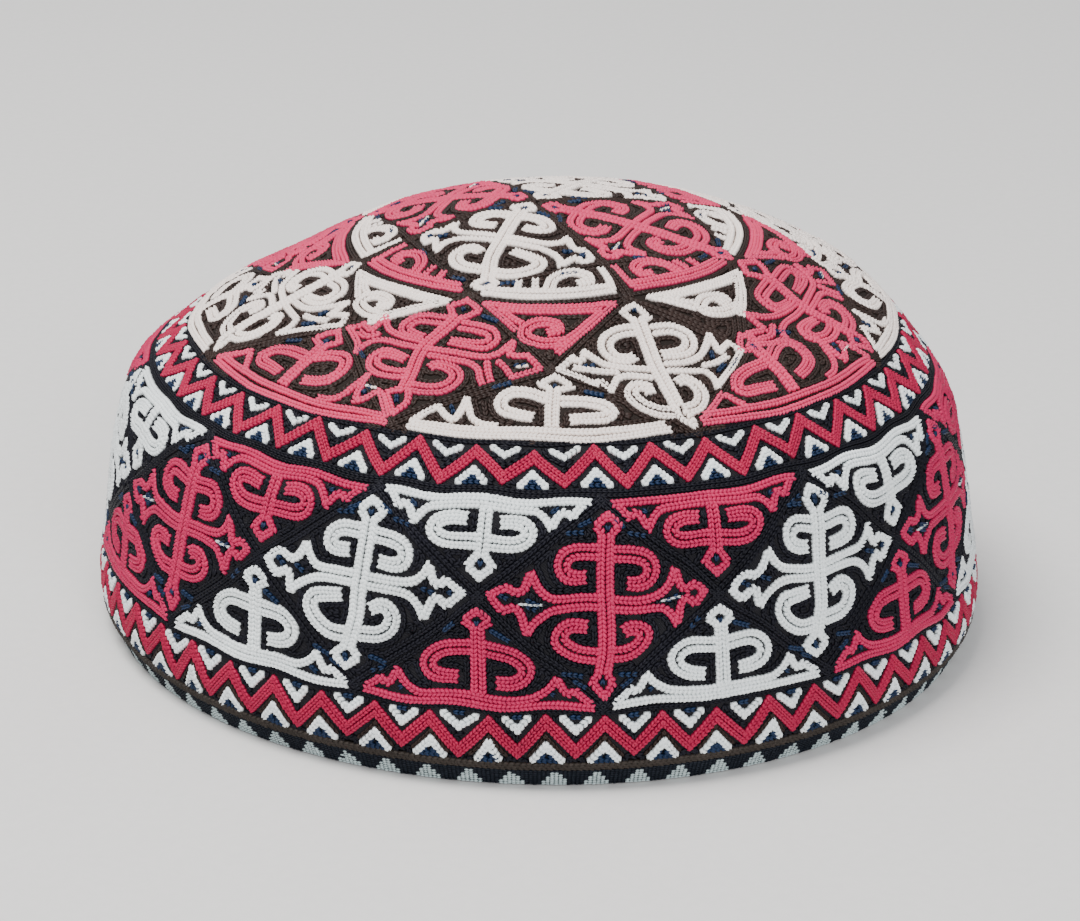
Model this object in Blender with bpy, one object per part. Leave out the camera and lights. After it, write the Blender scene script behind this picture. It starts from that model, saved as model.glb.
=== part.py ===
# Embroidered tubeteika skullcap: a domed crown, a barrel side band, a couched braid and a woven hem trim.
# Metres, +Z up. The origin lies on the cap's axis at the surface it stands on, and -Y is the front.
# The fine chain stitches are not modelled here, only the cloth pieces that carry them.
import math

import bmesh
import bpy
import numpy as np

# Overall sizes of the cap, measured on the outer face
HEM_RADIUS = 0.0925        # outer radius where the cap meets the table
BELLY_RADIUS = 0.0953      # widest radius of the side band, just above the hem
CROWN_RADIUS = 0.0743      # radius of the seam between crown and side band
BAND_HEIGHT = 0.0665       # height of that seam over the table
CROWN_RISE = 0.0244        # rise of the dome from the seam to its middle

# Cloth, trim and clearance
CLOTH = 0.0026             # quilted cloth wall, layers and embroidery together
TRIM_CLOTH = 0.0009        # thickness of the folded hem trim
TRIM_OUTER_WIDTH = 0.0046  # how far the trim reaches up the outside, along the cloth
TRIM_INNER_WIDTH = 0.0062  # how far it reaches up the inside
TRIM_ROUND = 0.0007        # rounding of the hem's outer corner
BRAID_WIDTH = 0.0015       # width of the braid above the trim
BRAID_PROUD = 0.0002       # how far the braid stands out of the cloth's face
CLEARANCE = 0.0003         # gap between pieces that touch

# Mesh fineness
AROUND = 84                # facets around the axis
BAND_STEPS = 13            # rows of facets up the outside of the band
CROWN_STEPS = 11           # rows of facets from the seam to the middle of the dome

# Outline of the side band from the hem up to the seam. The radius lies between the crown radius (0)
# and the belly radius (1), and is the hem radius where none is given. The height is a share of the
# band's height. Lean is a shift to the right, tilt lifts the right side and lowers the left, widen is
# extra width left to right. All three are the soft cap's own unevenness: lean and tilt are shares of
# the hem radius, widen is a share of the radius there.
# place, radius, height, lean, tilt, widen
BAND_OUTLINE = (
    ("hem", None, 0.000, 0.001, 0.000, -0.004),
    ("lower border foot", 1.000, 0.105, 0.000, 0.000, -0.003),
    ("lower border head", 0.981, 0.239, -0.002, -0.004, -0.002),
    ("diamond foot", 0.938, 0.314, -0.003, -0.006, -0.001),
    ("diamond middle", 0.790, 0.592, -0.006, -0.008, 0.003),
    ("diamond head", 0.545, 0.824, -0.004, -0.004, 0.003),
    ("upper border foot", 0.372, 0.883, -0.003, 0.002, 0.003),
    ("upper border head", 0.092, 0.972, -0.002, 0.011, 0.002),
    ("crown seam", 0.000, 1.000, -0.002, 0.014, 0.002),
)

# Outline of the crown from the seam to its middle. The radius is a share of the crown radius, the
# height a share of the crown's rise.
CROWN_OUTLINE = (
    ("crown seam", 1.000, 0.000, -0.002, 0.014, 0.002),
    ("rim triangle head", 0.777, 0.382, 0.001, 0.022, 0.001),
    ("octagon", 0.569, 0.674, 0.002, 0.026, 0.000),
    ("inner dome", 0.284, 0.918, -0.010, 0.014, 0.000),
    ("middle", 0.000, 1.000, -0.030, 0.000, 0.000),
)

# Broad dents (and a swelling, with a depth under zero) in the soft cloth: the angle from the front in
# degrees, the share of the way from the hem to the middle, how far the dent reaches around in degrees
# and along as a share of that way, and its depth as a share of the hem radius.
DENTS = (
    ("sunk back left shoulder", -138.0, 0.50, 42.0, 0.13, 0.030),
    ("full back right crown", 128.0, 0.60, 42.0, 0.15, -0.020),
)


def outline_rows():
    """Both outlines in metres: radius, height, lean, tilt and widen from the hem to the middle."""
    rows = []
    for place, radius, height, lean, tilt, widen in BAND_OUTLINE:
        if radius is None:
            r = HEM_RADIUS
        else:
            r = CROWN_RADIUS + radius * (BELLY_RADIUS - CROWN_RADIUS)
        rows.append((r, height * BAND_HEIGHT, lean * HEM_RADIUS, tilt * HEM_RADIUS, widen))
    for place, radius, height, lean, tilt, widen in CROWN_OUTLINE[1:]:
        rows.append((radius * CROWN_RADIUS, BAND_HEIGHT + height * CROWN_RISE,
                     lean * HEM_RADIUS, tilt * HEM_RADIUS, widen))
    return np.array(rows)


ROWS = outline_rows()
STATIONS = np.concatenate(([0.0], np.cumsum(np.hypot(np.diff(ROWS[:, 0]), np.diff(ROWS[:, 1])))))
SEAM = STATIONS[len(BAND_OUTLINE) - 1]     # distance along the cloth from the hem to the seam
TOP = STATIONS[-1]                         # distance from the hem to the middle of the dome


def along(s):
    """The outline's values at distance s along the cloth, on a smooth curve through its rows."""
    s = min(max(s, 0.0), TOP)
    i = min(int(np.searchsorted(STATIONS, s, side="right")) - 1, len(STATIONS) - 2)
    slopes = []
    for k in (i, i + 1):
        if k == 0:
            slopes.append((ROWS[1] - ROWS[0]) / (STATIONS[1] - STATIONS[0]))
        elif k == len(STATIONS) - 1:
            # The dome is level at its middle, so only the radius still changes there.
            end = (ROWS[k] - ROWS[k - 1]) / (STATIONS[k] - STATIONS[k - 1])
            end[1:] = 0.0
            slopes.append(end)
        else:
            before = (ROWS[k] - ROWS[k - 1]) / (STATIONS[k] - STATIONS[k - 1])
            after = (ROWS[k + 1] - ROWS[k]) / (STATIONS[k + 1] - STATIONS[k])
            w = (STATIONS[k] - STATIONS[k - 1]) / (STATIONS[k + 1] - STATIONS[k - 1])
            slopes.append(before * (1.0 - w) + after * w)
    h = STATIONS[i + 1] - STATIONS[i]
    t = (s - STATIONS[i]) / h
    return ((2 * t**3 - 3 * t**2 + 1) * ROWS[i] + (t**3 - 2 * t**2 + t) * h * slopes[0]
            + (-2 * t**3 + 3 * t**2) * ROWS[i + 1] + (t**3 - t**2) * h * slopes[1])


def dent_depth(angle, s):
    """How far all dents together sink the face there."""
    depth = 0.0
    for _, middle, share, around, reach, sunk in DENTS:
        turn = (angle - math.radians(middle) + math.pi) % (2.0 * math.pi) - math.pi
        spread = (turn / math.radians(around)) ** 2 + ((s / TOP - share) / reach) ** 2
        depth += sunk * HEM_RADIUS * math.exp(-spread)
    return depth


def face_point(angle, s):
    """A point of the outer face; the angle runs from the front (-Y) towards +X."""
    r, z, lean, tilt, widen = along(s)
    side = math.sin(angle)
    front = -math.cos(angle)
    # Dents sink the shoulder down and in, at a slope of 3 in and 4 down.
    sunk = dent_depth(angle, s) / 5.0
    return np.array((lean + r * (1.0 + widen) * side - 3.0 * sunk * side, (r - 3.0 * sunk) * front,
                     z + tilt * side * r / HEM_RADIUS - 4.0 * sunk))


def face_normal(angle, s):
    """The outward direction of the face there."""
    if s > TOP - 1e-6:
        return np.array((0.0, 0.0, 1.0))
    step = 1e-5
    up = face_point(angle, s + step) - face_point(angle, s - step)
    across = face_point(angle + step, s) - face_point(angle - step, s)
    normal = np.cross(across, up)
    return normal / np.linalg.norm(normal)


def under(angle, s, depth):
    """A point that lies the given depth under the outer face."""
    return face_point(angle, s) - face_normal(angle, s) * depth


def cloth_object(name, colour, roughness):
    """An empty mesh object with its own material."""
    material = bpy.data.materials.new(name)
    material.use_nodes = True
    shader = material.node_tree.nodes["Principled BSDF"]
    shader.inputs["Base Color"].default_value = (*colour, 1.0)
    shader.inputs["Roughness"].default_value = roughness
    shader.inputs["Metallic"].default_value = 0.0
    mesh = bpy.data.meshes.new(name)
    obj = bpy.data.objects.new(name, mesh)
    mesh.materials.append(material)
    bpy.context.scene.collection.objects.link(obj)
    return obj


def ring_of(bm, place):
    """One loop of vertices around the axis; place gives the point for an angle."""
    return [bm.verts.new(place(2.0 * math.pi * k / AROUND)) for k in range(AROUND)]


def skin(bm, lower, upper):
    """Quads between two loops, facing out when the second lies further along the section."""
    for k in range(AROUND):
        n = (k + 1) % AROUND
        bm.faces.new((lower[k], lower[n], upper[n], upper[k]))


def finish(bm, obj):
    """Turn all faces out, shade the round piece smooth and write it to its object."""
    bmesh.ops.recalc_face_normals(bm, faces=bm.faces)
    bm.to_mesh(obj.data)
    bm.free()
    obj.data.shade_smooth()
    obj.data.set_sharp_from_angle(angle=math.radians(40.0))


def closed_ring(obj, section):
    """A ring whose section is a list of functions from an angle to a point."""
    bm = bmesh.new()
    loops = [ring_of(bm, place) for place in section]
    for k, loop in enumerate(loops):
        skin(bm, loop, loops[(k + 1) % len(loops)])
    finish(bm, obj)


def at(s, depth):
    """A section point: distance along the cloth and depth under the face."""
    return lambda angle: under(angle, s, depth)


def inside_hem(s, depth, height):
    """A section point near the hem whose height is set by the table, not by the cloth."""
    def place(angle):
        point = under(angle, s, depth)
        point[2] = height
        return point
    return place


def make_crown():
    """The domed round top: outer face, cut edge at the seam and inner face."""
    obj = cloth_object("crown", (0.045, 0.034, 0.032), 0.85)
    start = SEAM + CLEARANCE / 2
    bm = bmesh.new()
    share = [(k / CROWN_STEPS) for k in range(CROWN_STEPS)]
    outer = [ring_of(bm, at(start + f * (TOP - start), 0.0)) for f in share]
    inner = [ring_of(bm, at(start + f * (TOP - start), CLOTH)) for f in share]
    for k in range(len(outer) - 1):
        skin(bm, outer[k], outer[k + 1])
        skin(bm, inner[k + 1], inner[k])
    skin(bm, inner[0], outer[0])
    for loop, depth in ((outer[-1], 0.0), (inner[-1], CLOTH)):
        middle = bm.verts.new(under(0.0, TOP, depth))
        for k in range(AROUND):
            bm.faces.new((loop[k], loop[(k + 1) % AROUND], middle))
    finish(bm, obj)
    return obj


def make_side_band():
    """The barrel wall. Its foot is thinner where the trim and the braid lie on it."""
    obj = cloth_object("side_band", (0.016, 0.016, 0.020), 0.85)
    rebate = TRIM_CLOTH + CLEARANCE
    shelf = TRIM_OUTER_WIDTH + BRAID_WIDTH + 2 * CLEARANCE
    foot = TRIM_CLOTH + CLEARANCE
    top = SEAM - CLEARANCE / 2
    section = [inside_hem(foot, rebate, foot), at(shelf * 0.5, rebate), at(shelf, rebate)]
    section += [at(shelf + (top - shelf) * k / BAND_STEPS, 0.0) for k in range(BAND_STEPS + 1)]
    rows = BAND_STEPS - 2
    section += [at(top + (foot - top) * k / rows, CLOTH) for k in range(rows)]
    section += [inside_hem(foot, CLOTH, foot)]
    closed_ring(obj, section)
    return obj


def make_hem_braid():
    """The brown braid couched around the band just above the trim."""
    obj = cloth_object("hem_braid", (0.055, 0.038, 0.024), 0.8)
    low = TRIM_OUTER_WIDTH + CLEARANCE
    high = low + BRAID_WIDTH
    back = TRIM_CLOTH
    shoulder = (back - BRAID_PROUD) * 0.25
    section = [at(low, back), at(low, shoulder), at((low + high) / 2, -BRAID_PROUD),
               at(high, shoulder), at(high, back)]
    closed_ring(obj, section)
    return obj


def make_hem_trim():
    """The woven trim folded over the cap's edge, with a flat foot that rests on the table."""
    obj = cloth_object("hem_trim", (0.020, 0.028, 0.042), 0.75)
    wall = CLOTH + CLEARANCE
    section = [inside_hem(0.0, wall + TRIM_CLOTH, 0.0),
               inside_hem(0.0, TRIM_ROUND, 0.0),
               inside_hem(TRIM_ROUND, 0.0, TRIM_ROUND),
               at(TRIM_OUTER_WIDTH * 0.45, 0.0),
               at(TRIM_OUTER_WIDTH, 0.0),
               at(TRIM_OUTER_WIDTH, TRIM_CLOTH),
               at(TRIM_OUTER_WIDTH * 0.5, TRIM_CLOTH),
               inside_hem(TRIM_CLOTH, TRIM_CLOTH, TRIM_CLOTH),
               inside_hem(TRIM_CLOTH, wall, TRIM_CLOTH),
               at(TRIM_INNER_WIDTH * 0.5, wall),
               at(TRIM_INNER_WIDTH, wall),
               at(TRIM_INNER_WIDTH, wall + TRIM_CLOTH),
               at(TRIM_INNER_WIDTH * 0.5, wall + TRIM_CLOTH)]
    closed_ring(obj, section)
    return obj


for old in list(bpy.data.objects):
    bpy.data.objects.remove(old, do_unlink=True)

cap = bpy.data.objects.new("tubeteika", None)
bpy.context.scene.collection.objects.link(cap)
for piece in (make_crown(), make_side_band(), make_hem_braid(), make_hem_trim()):
    piece.parent = cap
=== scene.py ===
# Embroidered tubeteika skullcap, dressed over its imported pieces.
# Every row of chain stitch is drawn on one of two flat charts, in millimetres. The band chart runs
# around the cap (across) and up from the hem (up). The crown chart lies around the cap's middle.
# Both are then carried onto the cap's outer face, and the black ground is worked around the pattern.

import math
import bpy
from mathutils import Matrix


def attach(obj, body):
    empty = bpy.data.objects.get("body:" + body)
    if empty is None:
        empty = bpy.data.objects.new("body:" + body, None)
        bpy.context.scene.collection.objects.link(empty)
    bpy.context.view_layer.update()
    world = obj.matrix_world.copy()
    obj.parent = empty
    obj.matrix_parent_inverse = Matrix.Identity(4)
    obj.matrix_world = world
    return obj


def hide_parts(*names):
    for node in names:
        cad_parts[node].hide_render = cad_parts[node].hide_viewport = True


bl_info = {
    "name": "Embroidered skullcap",
    "version": (1, 0, 0),
    "blender": (4, 5, 0),
    "location": "3D View > Sidebar > Skullcap",
    "description": "Works the chain stitch, braid and woven trim of a domed skullcap",
    "category": "Object",
}

import bpy
import numpy as np
from mathutils import Matrix, Vector, kdtree

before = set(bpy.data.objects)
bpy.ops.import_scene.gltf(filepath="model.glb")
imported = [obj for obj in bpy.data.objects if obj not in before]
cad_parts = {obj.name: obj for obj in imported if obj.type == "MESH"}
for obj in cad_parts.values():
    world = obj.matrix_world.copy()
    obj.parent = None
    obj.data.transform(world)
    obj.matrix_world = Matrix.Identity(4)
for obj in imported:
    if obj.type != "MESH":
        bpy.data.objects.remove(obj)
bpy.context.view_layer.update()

# Outer face of the cap, the same as in the part: metres, angles from the front towards the right
HEM_RADIUS = 0.0925
BELLY_RADIUS = 0.0953
CROWN_RADIUS = 0.0743
BAND_HEIGHT = 0.0665
CROWN_RISE = 0.0244
CLOTH = 2.6
TRIM_CLOTH = 0.9
TRIM_OUTER_WIDTH = 4.6
TRIM_INNER_WIDTH = 6.2
BRAID_WIDTH = 1.5
GAP = 0.3

# Radius between crown and belly, height, lean, tilt and widening of each level
BAND_OUTLINE = (
    (None, 0.000, 0.001, 0.000, -0.004),
    (1.000, 0.105, 0.000, 0.000, -0.003),
    (0.981, 0.239, -0.002, -0.004, -0.002),
    (0.938, 0.314, -0.003, -0.006, -0.001),
    (0.790, 0.592, -0.006, -0.008, 0.003),
    (0.545, 0.824, -0.004, -0.004, 0.003),
    (0.372, 0.883, -0.003, 0.002, 0.003),
    (0.092, 0.972, -0.002, 0.011, 0.002),
    (0.000, 1.000, -0.002, 0.014, 0.002),
)
CROWN_OUTLINE = (
    (0.777, 0.382, 0.001, 0.022, 0.001),
    (0.569, 0.674, 0.002, 0.026, 0.000),
    (0.284, 0.918, -0.010, 0.014, 0.000),
    (0.000, 1.000, -0.030, 0.000, 0.000),
)
# Angle, place, reach around, reach up and depth of the broad dents in the soft cloth
DENTS = (
    (-138.0, 0.50, 42.0, 0.13, 0.030),
    (128.0, 0.60, 42.0, 0.15, -0.020),
)


def outline_table():
    """Levels of the outer face: distance along the cloth in millimetres, values and slopes."""
    rows = []
    for radius, height, lean, tilt, widen in BAND_OUTLINE:
        r = HEM_RADIUS
        if radius is not None:
            r = CROWN_RADIUS + radius * (BELLY_RADIUS - CROWN_RADIUS)
        rows.append((r, height * BAND_HEIGHT, lean * HEM_RADIUS, tilt * HEM_RADIUS, widen))
    for radius, height, lean, tilt, widen in CROWN_OUTLINE:
        z = BAND_HEIGHT + height * CROWN_RISE
        rows.append((radius * CROWN_RADIUS, z, lean * HEM_RADIUS, tilt * HEM_RADIUS, widen))
    rows = np.array(rows)
    lengths = np.hypot(np.diff(rows[:, 0]), np.diff(rows[:, 1])) * 1000
    stations = np.concatenate(([0.0], np.cumsum(lengths)))
    slopes = np.diff(rows, axis=0) / lengths[:, None]
    share = (lengths[:-1] / (lengths[:-1] + lengths[1:]))[:, None]
    middle = slopes[:-1] * (1 - share) + slopes[1:] * share
    ends = np.vstack([slopes[:1], middle, slopes[-1:]])
    ends[-1, 1:] = 0
    return stations, rows, ends


STATIONS, LEVELS, SLOPES = outline_table()
SEAM = STATIONS[len(BAND_OUTLINE) - 1]
TOP = STATIONS[-1]
# One turn of the band chart is the girth at this radius, in millimetres
CHART_RADIUS = 90.9
GIRTH = 2 * math.pi * CHART_RADIUS
DEGREE = GIRTH / 360
# The quilted cloth's unevenness in metres, and how far up the cloth it starts and is full
QUILT_DEPTH = 0.00018
QUILT_START = 8
QUILT_FULL = 20
# How deep under the outer face the cloth shells and the feet of the stitches lie
SHELL_DEPTH = 0.68
STITCH_DEPTH = 0.7


def bare_face(angle, s):
    """Points on the outer face in metres, from the angle and the distance up the cloth."""
    s = np.clip(np.asarray(s, float), 0, TOP)
    angle = np.asarray(angle, float)
    k = np.clip(np.searchsorted(STATIONS, s, side="right") - 1, 0, len(STATIONS) - 2)
    step = STATIONS[k + 1] - STATIONS[k]
    t = ((s - STATIONS[k]) / step)[..., None]
    step = step[..., None]
    v = (2 * t**3 - 3 * t**2 + 1) * LEVELS[k] + (t**3 - 2 * t**2 + t) * step * SLOPES[k]
    v = v + (3 * t**2 - 2 * t**3) * LEVELS[k + 1] + (t**3 - t**2) * step * SLOPES[k + 1]
    radius = v[..., 0]
    side = np.sin(angle)
    x = v[..., 2] + radius * (1 + v[..., 4]) * side
    y = -radius * np.cos(angle)
    z = v[..., 1] + v[..., 3] * side * radius / HEM_RADIUS
    sunk = 0
    for where, place, around, up, depth in DENTS:
        turn = (angle - math.radians(where) + math.pi) % (2 * math.pi) - math.pi
        reach = (turn / math.radians(around)) ** 2 + ((s / TOP - place) / up) ** 2
        sunk = sunk + depth * HEM_RADIUS * np.exp(-reach)
    # the quilted cloth is a little uneven
    fade = np.clip((s - QUILT_START) / (QUILT_FULL - QUILT_START), 0, 1) * radius / HEM_RADIUS
    quilt = np.sin(5 * angle + 1.3 + s * 0.07) + 0.8 * np.sin(9 * angle - 0.9 - s * 0.11)
    quilt = quilt + 0.6 * np.sin(16 * angle + 2.1 + s * 0.19)
    sunk = sunk + QUILT_DEPTH * quilt * fade
    return np.stack([x - 0.6 * side * sunk, y + 0.6 * np.cos(angle) * sunk, z - 0.8 * sunk], -1)


def outward(angle, s):
    """Unit directions out of the outer face."""
    s = np.clip(np.asarray(s, float), 0.3, TOP - 0.5)
    around = bare_face(angle + 0.002, s) - bare_face(angle - 0.002, s)
    up = bare_face(angle, s + 0.3) - bare_face(angle, s - 0.3)
    normal = np.cross(around, up)
    return normal / np.linalg.norm(normal, axis=-1, keepdims=True)


def face(angle, s, depth=0.0):
    """Points in metres that lie a depth in millimetres under the outer face."""
    return bare_face(angle, s) - outward(angle, s) * depth * 0.001


def band_to_cap(points):
    """Angle and distance up the cloth of points on the band chart."""
    return points[:, 0] / CHART_RADIUS, points[:, 1]


def crown_to_cap(points):
    """Angle and distance up the cloth of points on the crown chart."""
    reach = np.hypot(points[:, 0], points[:, 1])
    return np.arctan2(points[:, 0], -points[:, 1]), TOP - reach


# Motifs, drawn on charts of a tenth of a millimetre around the middle of their diamond.
# Double rows give their line, then the width of one row at the start and at the end.
CROSS_RED = {
    "double": (
        (((15, 129), (14, 89), (14, 19), (14, -10), (13, -56), (9, -96), (1, -131)), 1.7, 1.6),
        (((-3, 98), (-45, 99), (-65, 91), (-74, 74), (-68, 56), (-50, 49), (-30, 49)), 1.7, 1.15),
        (((33, 95), (70, 95), (94, 88), (104, 69), (96, 50), (78, 42), (60, 42)), 1.7, 1.15),
        (((-8, -103), (-45, -101), (-69, -88), (-82, -71), (-76, -53), (-58, -45), (-30, -48)),
         1.7, 1.15),
        (((19, -97), (55, -94), (77, -81), (86, -62), (76, -48), (60, -45), (49, -50)),
         1.7, 1.15),
    ),
    "single": (
        ((5, 129), (1, 143), (-8, 150), (6, 162), (19, 173)),
        ((24, 129), (33, 142), (44, 149), (33, 162), (19, 173)),
        ((2, 10), (-65, 10), (-98, 13), (-118, 28), (-129, 47), (-134, 60), (-140, 44), (-147, 27),
         (-160, 20), (-172, 24), (-181, 28), (-197, 20), (-211, 13)),
        ((2, -9), (-65, -9), (-98, -12), (-120, -26), (-134, -42), (-140, -55), (-145, -41),
         (-151, -21), (-162, -6), (-175, -12), (-185, -16), (-200, -2), (-211, 13)),
        ((27, 10), (85, 10), (118, 17), (137, 31), (145, 45), (150, 60), (155, 42), (161, 22),
         (171, 13), (183, 20), (193, 23), (203, 17), (211, 10)),
        ((27, -9), (85, -9), (118, -13), (135, -28), (143, -42), (148, -55), (153, -38),
         (159, -13), (170, 0), (181, -8), (189, -16), (200, -3), (211, 10)),
        ((-7, -131), (-12, -143), (-22, -153), (-9, -168), (2, -181)),
        ((9, -131), (11, -141), (20, -153), (12, -166), (2, -181)),
    ),
    "navy": (
        ((-139, 7), (-122, 0)), ((-139, -4), (-128, -8)), ((133, 0), (149, 3)),
        ((18, 147), (18, 155)), ((-189, 12), (-180, 8)), ((-1, -152), (-2, -160)),
        ((-60, 136), (-35, 138)), ((66, 135), (92, 131)), ((-205, -58), (-175, -70)),
        ((-72, -141), (-42, -144)), ((38, -138), (64, -143)), ((178, -58), (190, -44)),
    ),
    "slits": (((-152, 0), (-118, 1)), ((122, 1), (154, 1))),
}
CROSS_CREAM = {
    "double": (
        (((5, 129), (5, 89), (2, 22), (0, 0), (-2, -56), (-12, -96), (-20, -126)), 1.6, 1.5),
        (((-12, 104), (-45, 107), (-65, 99), (-73, 84), (-68, 69), (-50, 63), (-31, 63)),
         1.65, 1.15),
        (((24, 102), (60, 101), (83, 92), (90, 74), (83, 58), (63, 52), (38, 54)), 1.65, 1.15),
        (((-20, -100), (-60, -100), (-90, -84), (-105, -61), (-98, -41), (-75, -33), (-40, -26)),
         1.65, 1.15),
        (((7, -96), (45, -94), (68, -79), (75, -56), (65, -39), (48, -34), (30, -42)),
         1.65, 1.15),
    ),
    "single": (
        ((-4, 129), (-12, 141), (-19, 149), (-10, 163), (0, 173)),
        ((14, 129), (25, 141), (33, 150), (14, 165), (0, 173)),
        ((-10, 21), (-65, 21), (-98, 24), (-115, 37), (-125, 53), (-130, 65), (-138, 49),
         (-148, 32), (-163, 24), (-175, 29), (-188, 33), (-203, 22), (-213, 9)),
        ((-12, 2), (-65, 2), (-100, -2), (-128, -16), (-145, -31), (-153, -44), (-158, -26),
         (-160, -9), (-170, -1), (-183, -11), (-190, -16), (-204, -4), (-213, 9)),
        ((15, 21), (75, 20), (110, 24), (130, 39), (139, 52), (143, 62), (148, 44), (155, 27),
         (164, 23), (173, 32), (179, 35), (195, 24), (210, 14)),
        ((13, 2), (75, 0), (105, -6), (123, -22), (130, -36), (134, -46), (141, -31), (150, -9),
         (160, 2), (170, -7), (178, -15), (194, 0), (210, 14)),
        ((-29, -126), (-40, -136), (-50, -143), (-35, -156), (-22, -165)),
        ((-12, -126), (-3, -137), (5, -145), (-9, -156), (-22, -165)),
    ),
    "navy": (
        ((-146, 14), (-134, 8)), ((134, 12), (148, 8)), ((-190, 18), (-180, 10)),
        ((4, 146), (3, 155)), ((-25, -142), (-22, -152)), ((186, 12), (194, 12)),
        ((-62, 142), (-36, 143)), ((60, 142), (86, 138)), ((-208, -60), (-182, -74)),
        ((-86, -138), (-60, -146)), ((34, -140), (62, -146)), ((176, -62), (190, -50)),
    ),
}
# The half diamonds hang from the upper border or stand on the lower one. Their stem is in the
# middle, and their other rows are drawn for the right and are mirrored for the left.
HALF_HANGING = {
    "stem": ((((1, 172), (1, 86)), 1.3, 1.25),),
    "double": (
        (((14, 110), (61, 109), (86, 117), (96, 133), (87, 149), (64, 155), (36, 153)), 1.6, 1.2),
    ),
    "single": (
        ((0, 199), (176, 199), (214, 197)),
        ((0, 183), (96, 182), (119, 173), (132, 158), (141, 141), (149, 158), (157, 172),
         (168, 177), (182, 164), (190, 178), (200, 189)),
        ((7, 86), (16, 74), (25, 64), (10, 52), (0, 43)),
    ),
    "navy": (((145, 178), (153, 182)), ((0, 70), (1, 77)), ((196, 150), (212, 158))),
}
HALF_STANDING = {
    "stem": ((((2, -180), (2, -58)), 1.5, 1.4),),
    "double": (
        (((17, -97), (62, -99), (86, -110), (97, -128), (90, -146), (70, -155), (42, -157)),
         1.6, 1.2),
    ),
    "single": (
        ((0, -206), (182, -206), (218, -206)),
        ((0, -190), (98, -190), (125, -182), (142, -169), (154, -151), (161, -168), (169, -180),
         (177, -183), (187, -174), (196, -184), (212, -196)),
        ((9, -56), (20, -48), (28, -44), (12, -31), (0, -24)),
    ),
    "navy": (((146, -184), (153, -188)), ((0, -48), (1, -41)), ((186, -158), (202, -166))),
}
# On the crown, drawn in millimetres where each stands nearest the front.
CROWN_RED = {
    "double": (
        (((-18.3, -45.8), (-20.6, -48.4), (-24.3, -52.4), (-25.9, -55.8), (-27.0, -60.6),
          (-28.4, -64.4)), 1.45, 1.3),
        (((-20.5, -46.4), (-23.5, -45.1), (-26.5, -44.2), (-28.7, -45.4), (-28.9, -47.2),
          (-27.3, -48.8), (-25.4, -50.0)), 1.75, 0.8),
        (((-17.3, -48.3), (-14.1, -49.6), (-11.4, -51.0), (-10.7, -53.0), (-12.3, -54.4),
          (-15.0, -53.9), (-17.7, -53.0), (-19.2, -52.4)), 1.6, 0.8),
        (((-27.6, -60.2), (-30.2, -59.7), (-33.2, -58.1), (-35.2, -55.6), (-35.1, -53.1),
          (-33.4, -52.5), (-30.9, -53.8), (-28.6, -55.6)), 1.7, 0.85),
        (((-26.6, -64.4), (-23.6, -65.3), (-20.6, -65.2), (-18.3, -63.4), (-18.1, -61.2),
          (-19.6, -59.5), (-21.8, -58.5), (-23.0, -59.0)), 1.65, 0.85),
    ),
    "single": (
        ((-19.4, -45.4), (-19.6, -43.6), (-20.2, -41.9), (-18.4, -41.7), (-16.5, -41.1)),
        ((-17.6, -46.2), (-15.8, -45.7), (-13.8, -44.6), (-15.0, -42.9), (-16.5, -41.1)),
        ((-25.2, -51.3), (-28.6, -49.3), (-31.6, -46.7), (-33.0, -44.3), (-33.3, -41.0)),
        ((-33.3, -41.0), (-35.2, -43.0), (-36.5, -44.6), (-37.4, -42.8), (-38.2, -41.3)),
        ((-38.2, -41.3), (-39.8, -41.6), (-41.4, -41.2)),
        ((-25.8, -53.0), (-29.6, -51.0), (-33.0, -48.7), (-35.6, -47.8), (-37.6, -48.3),
         (-39.4, -49.9)),
        ((-39.4, -49.9), (-39.3, -47.4), (-40.0, -45.0), (-41.4, -41.2)),
        ((-35.0, -46.0), (-37.6, -45.6), (-39.0, -43.6)),
        ((-23.2, -53.9), (-18.6, -55.5), (-14.4, -57.0), (-11.6, -57.5), (-9.4, -56.7),
         (-8.0, -55.2), (-6.9, -54.0)),
        ((-6.9, -54.0), (-7.0, -55.6), (-7.8, -57.2), (-6.0, -57.8), (-3.9, -57.7)),
        ((-3.9, -57.7), (-2.7, -59.3), (-1.5, -61.1)),
        ((-23.4, -55.6), (-19.2, -57.3), (-15.4, -58.9), (-13.7, -60.8), (-13.4, -63.0),
         (-12.9, -64.8)),
        ((-11.9, -59.2), (-11.7, -61.6), (-11.2, -64.2)),
        ((-9.6, -59.2), (-8.2, -61.0), (-7.6, -62.4), (-7.0, -63.6)),
        ((-7.0, -63.6), (-4.4, -62.7), (-1.5, -61.5)),
        ((-28.9, -64.7), (-30.4, -64.5), (-32.0, -64.9), (-31.4, -67.6), (-30.8, -70.6)),
        ((-27.5, -65.3), (-27.5, -67.2), (-28.2, -68.8), (-29.6, -69.7), (-30.8, -70.6)),
    ),
    "navy": (((-17.2, -43.6), (-16.9, -44.2)), ((-13.0, -46.4), (-10.4, -48.0)),
             ((-6.0, -60.4), (-4.6, -60.4)), ((-29.8, -66.4), (-29.9, -67.4))),
    "slits": (((-5.6, -60.9), (-4.2, -60.7)), ((-35.9, -62.0), (-34.2, -63.0))),
}
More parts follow.
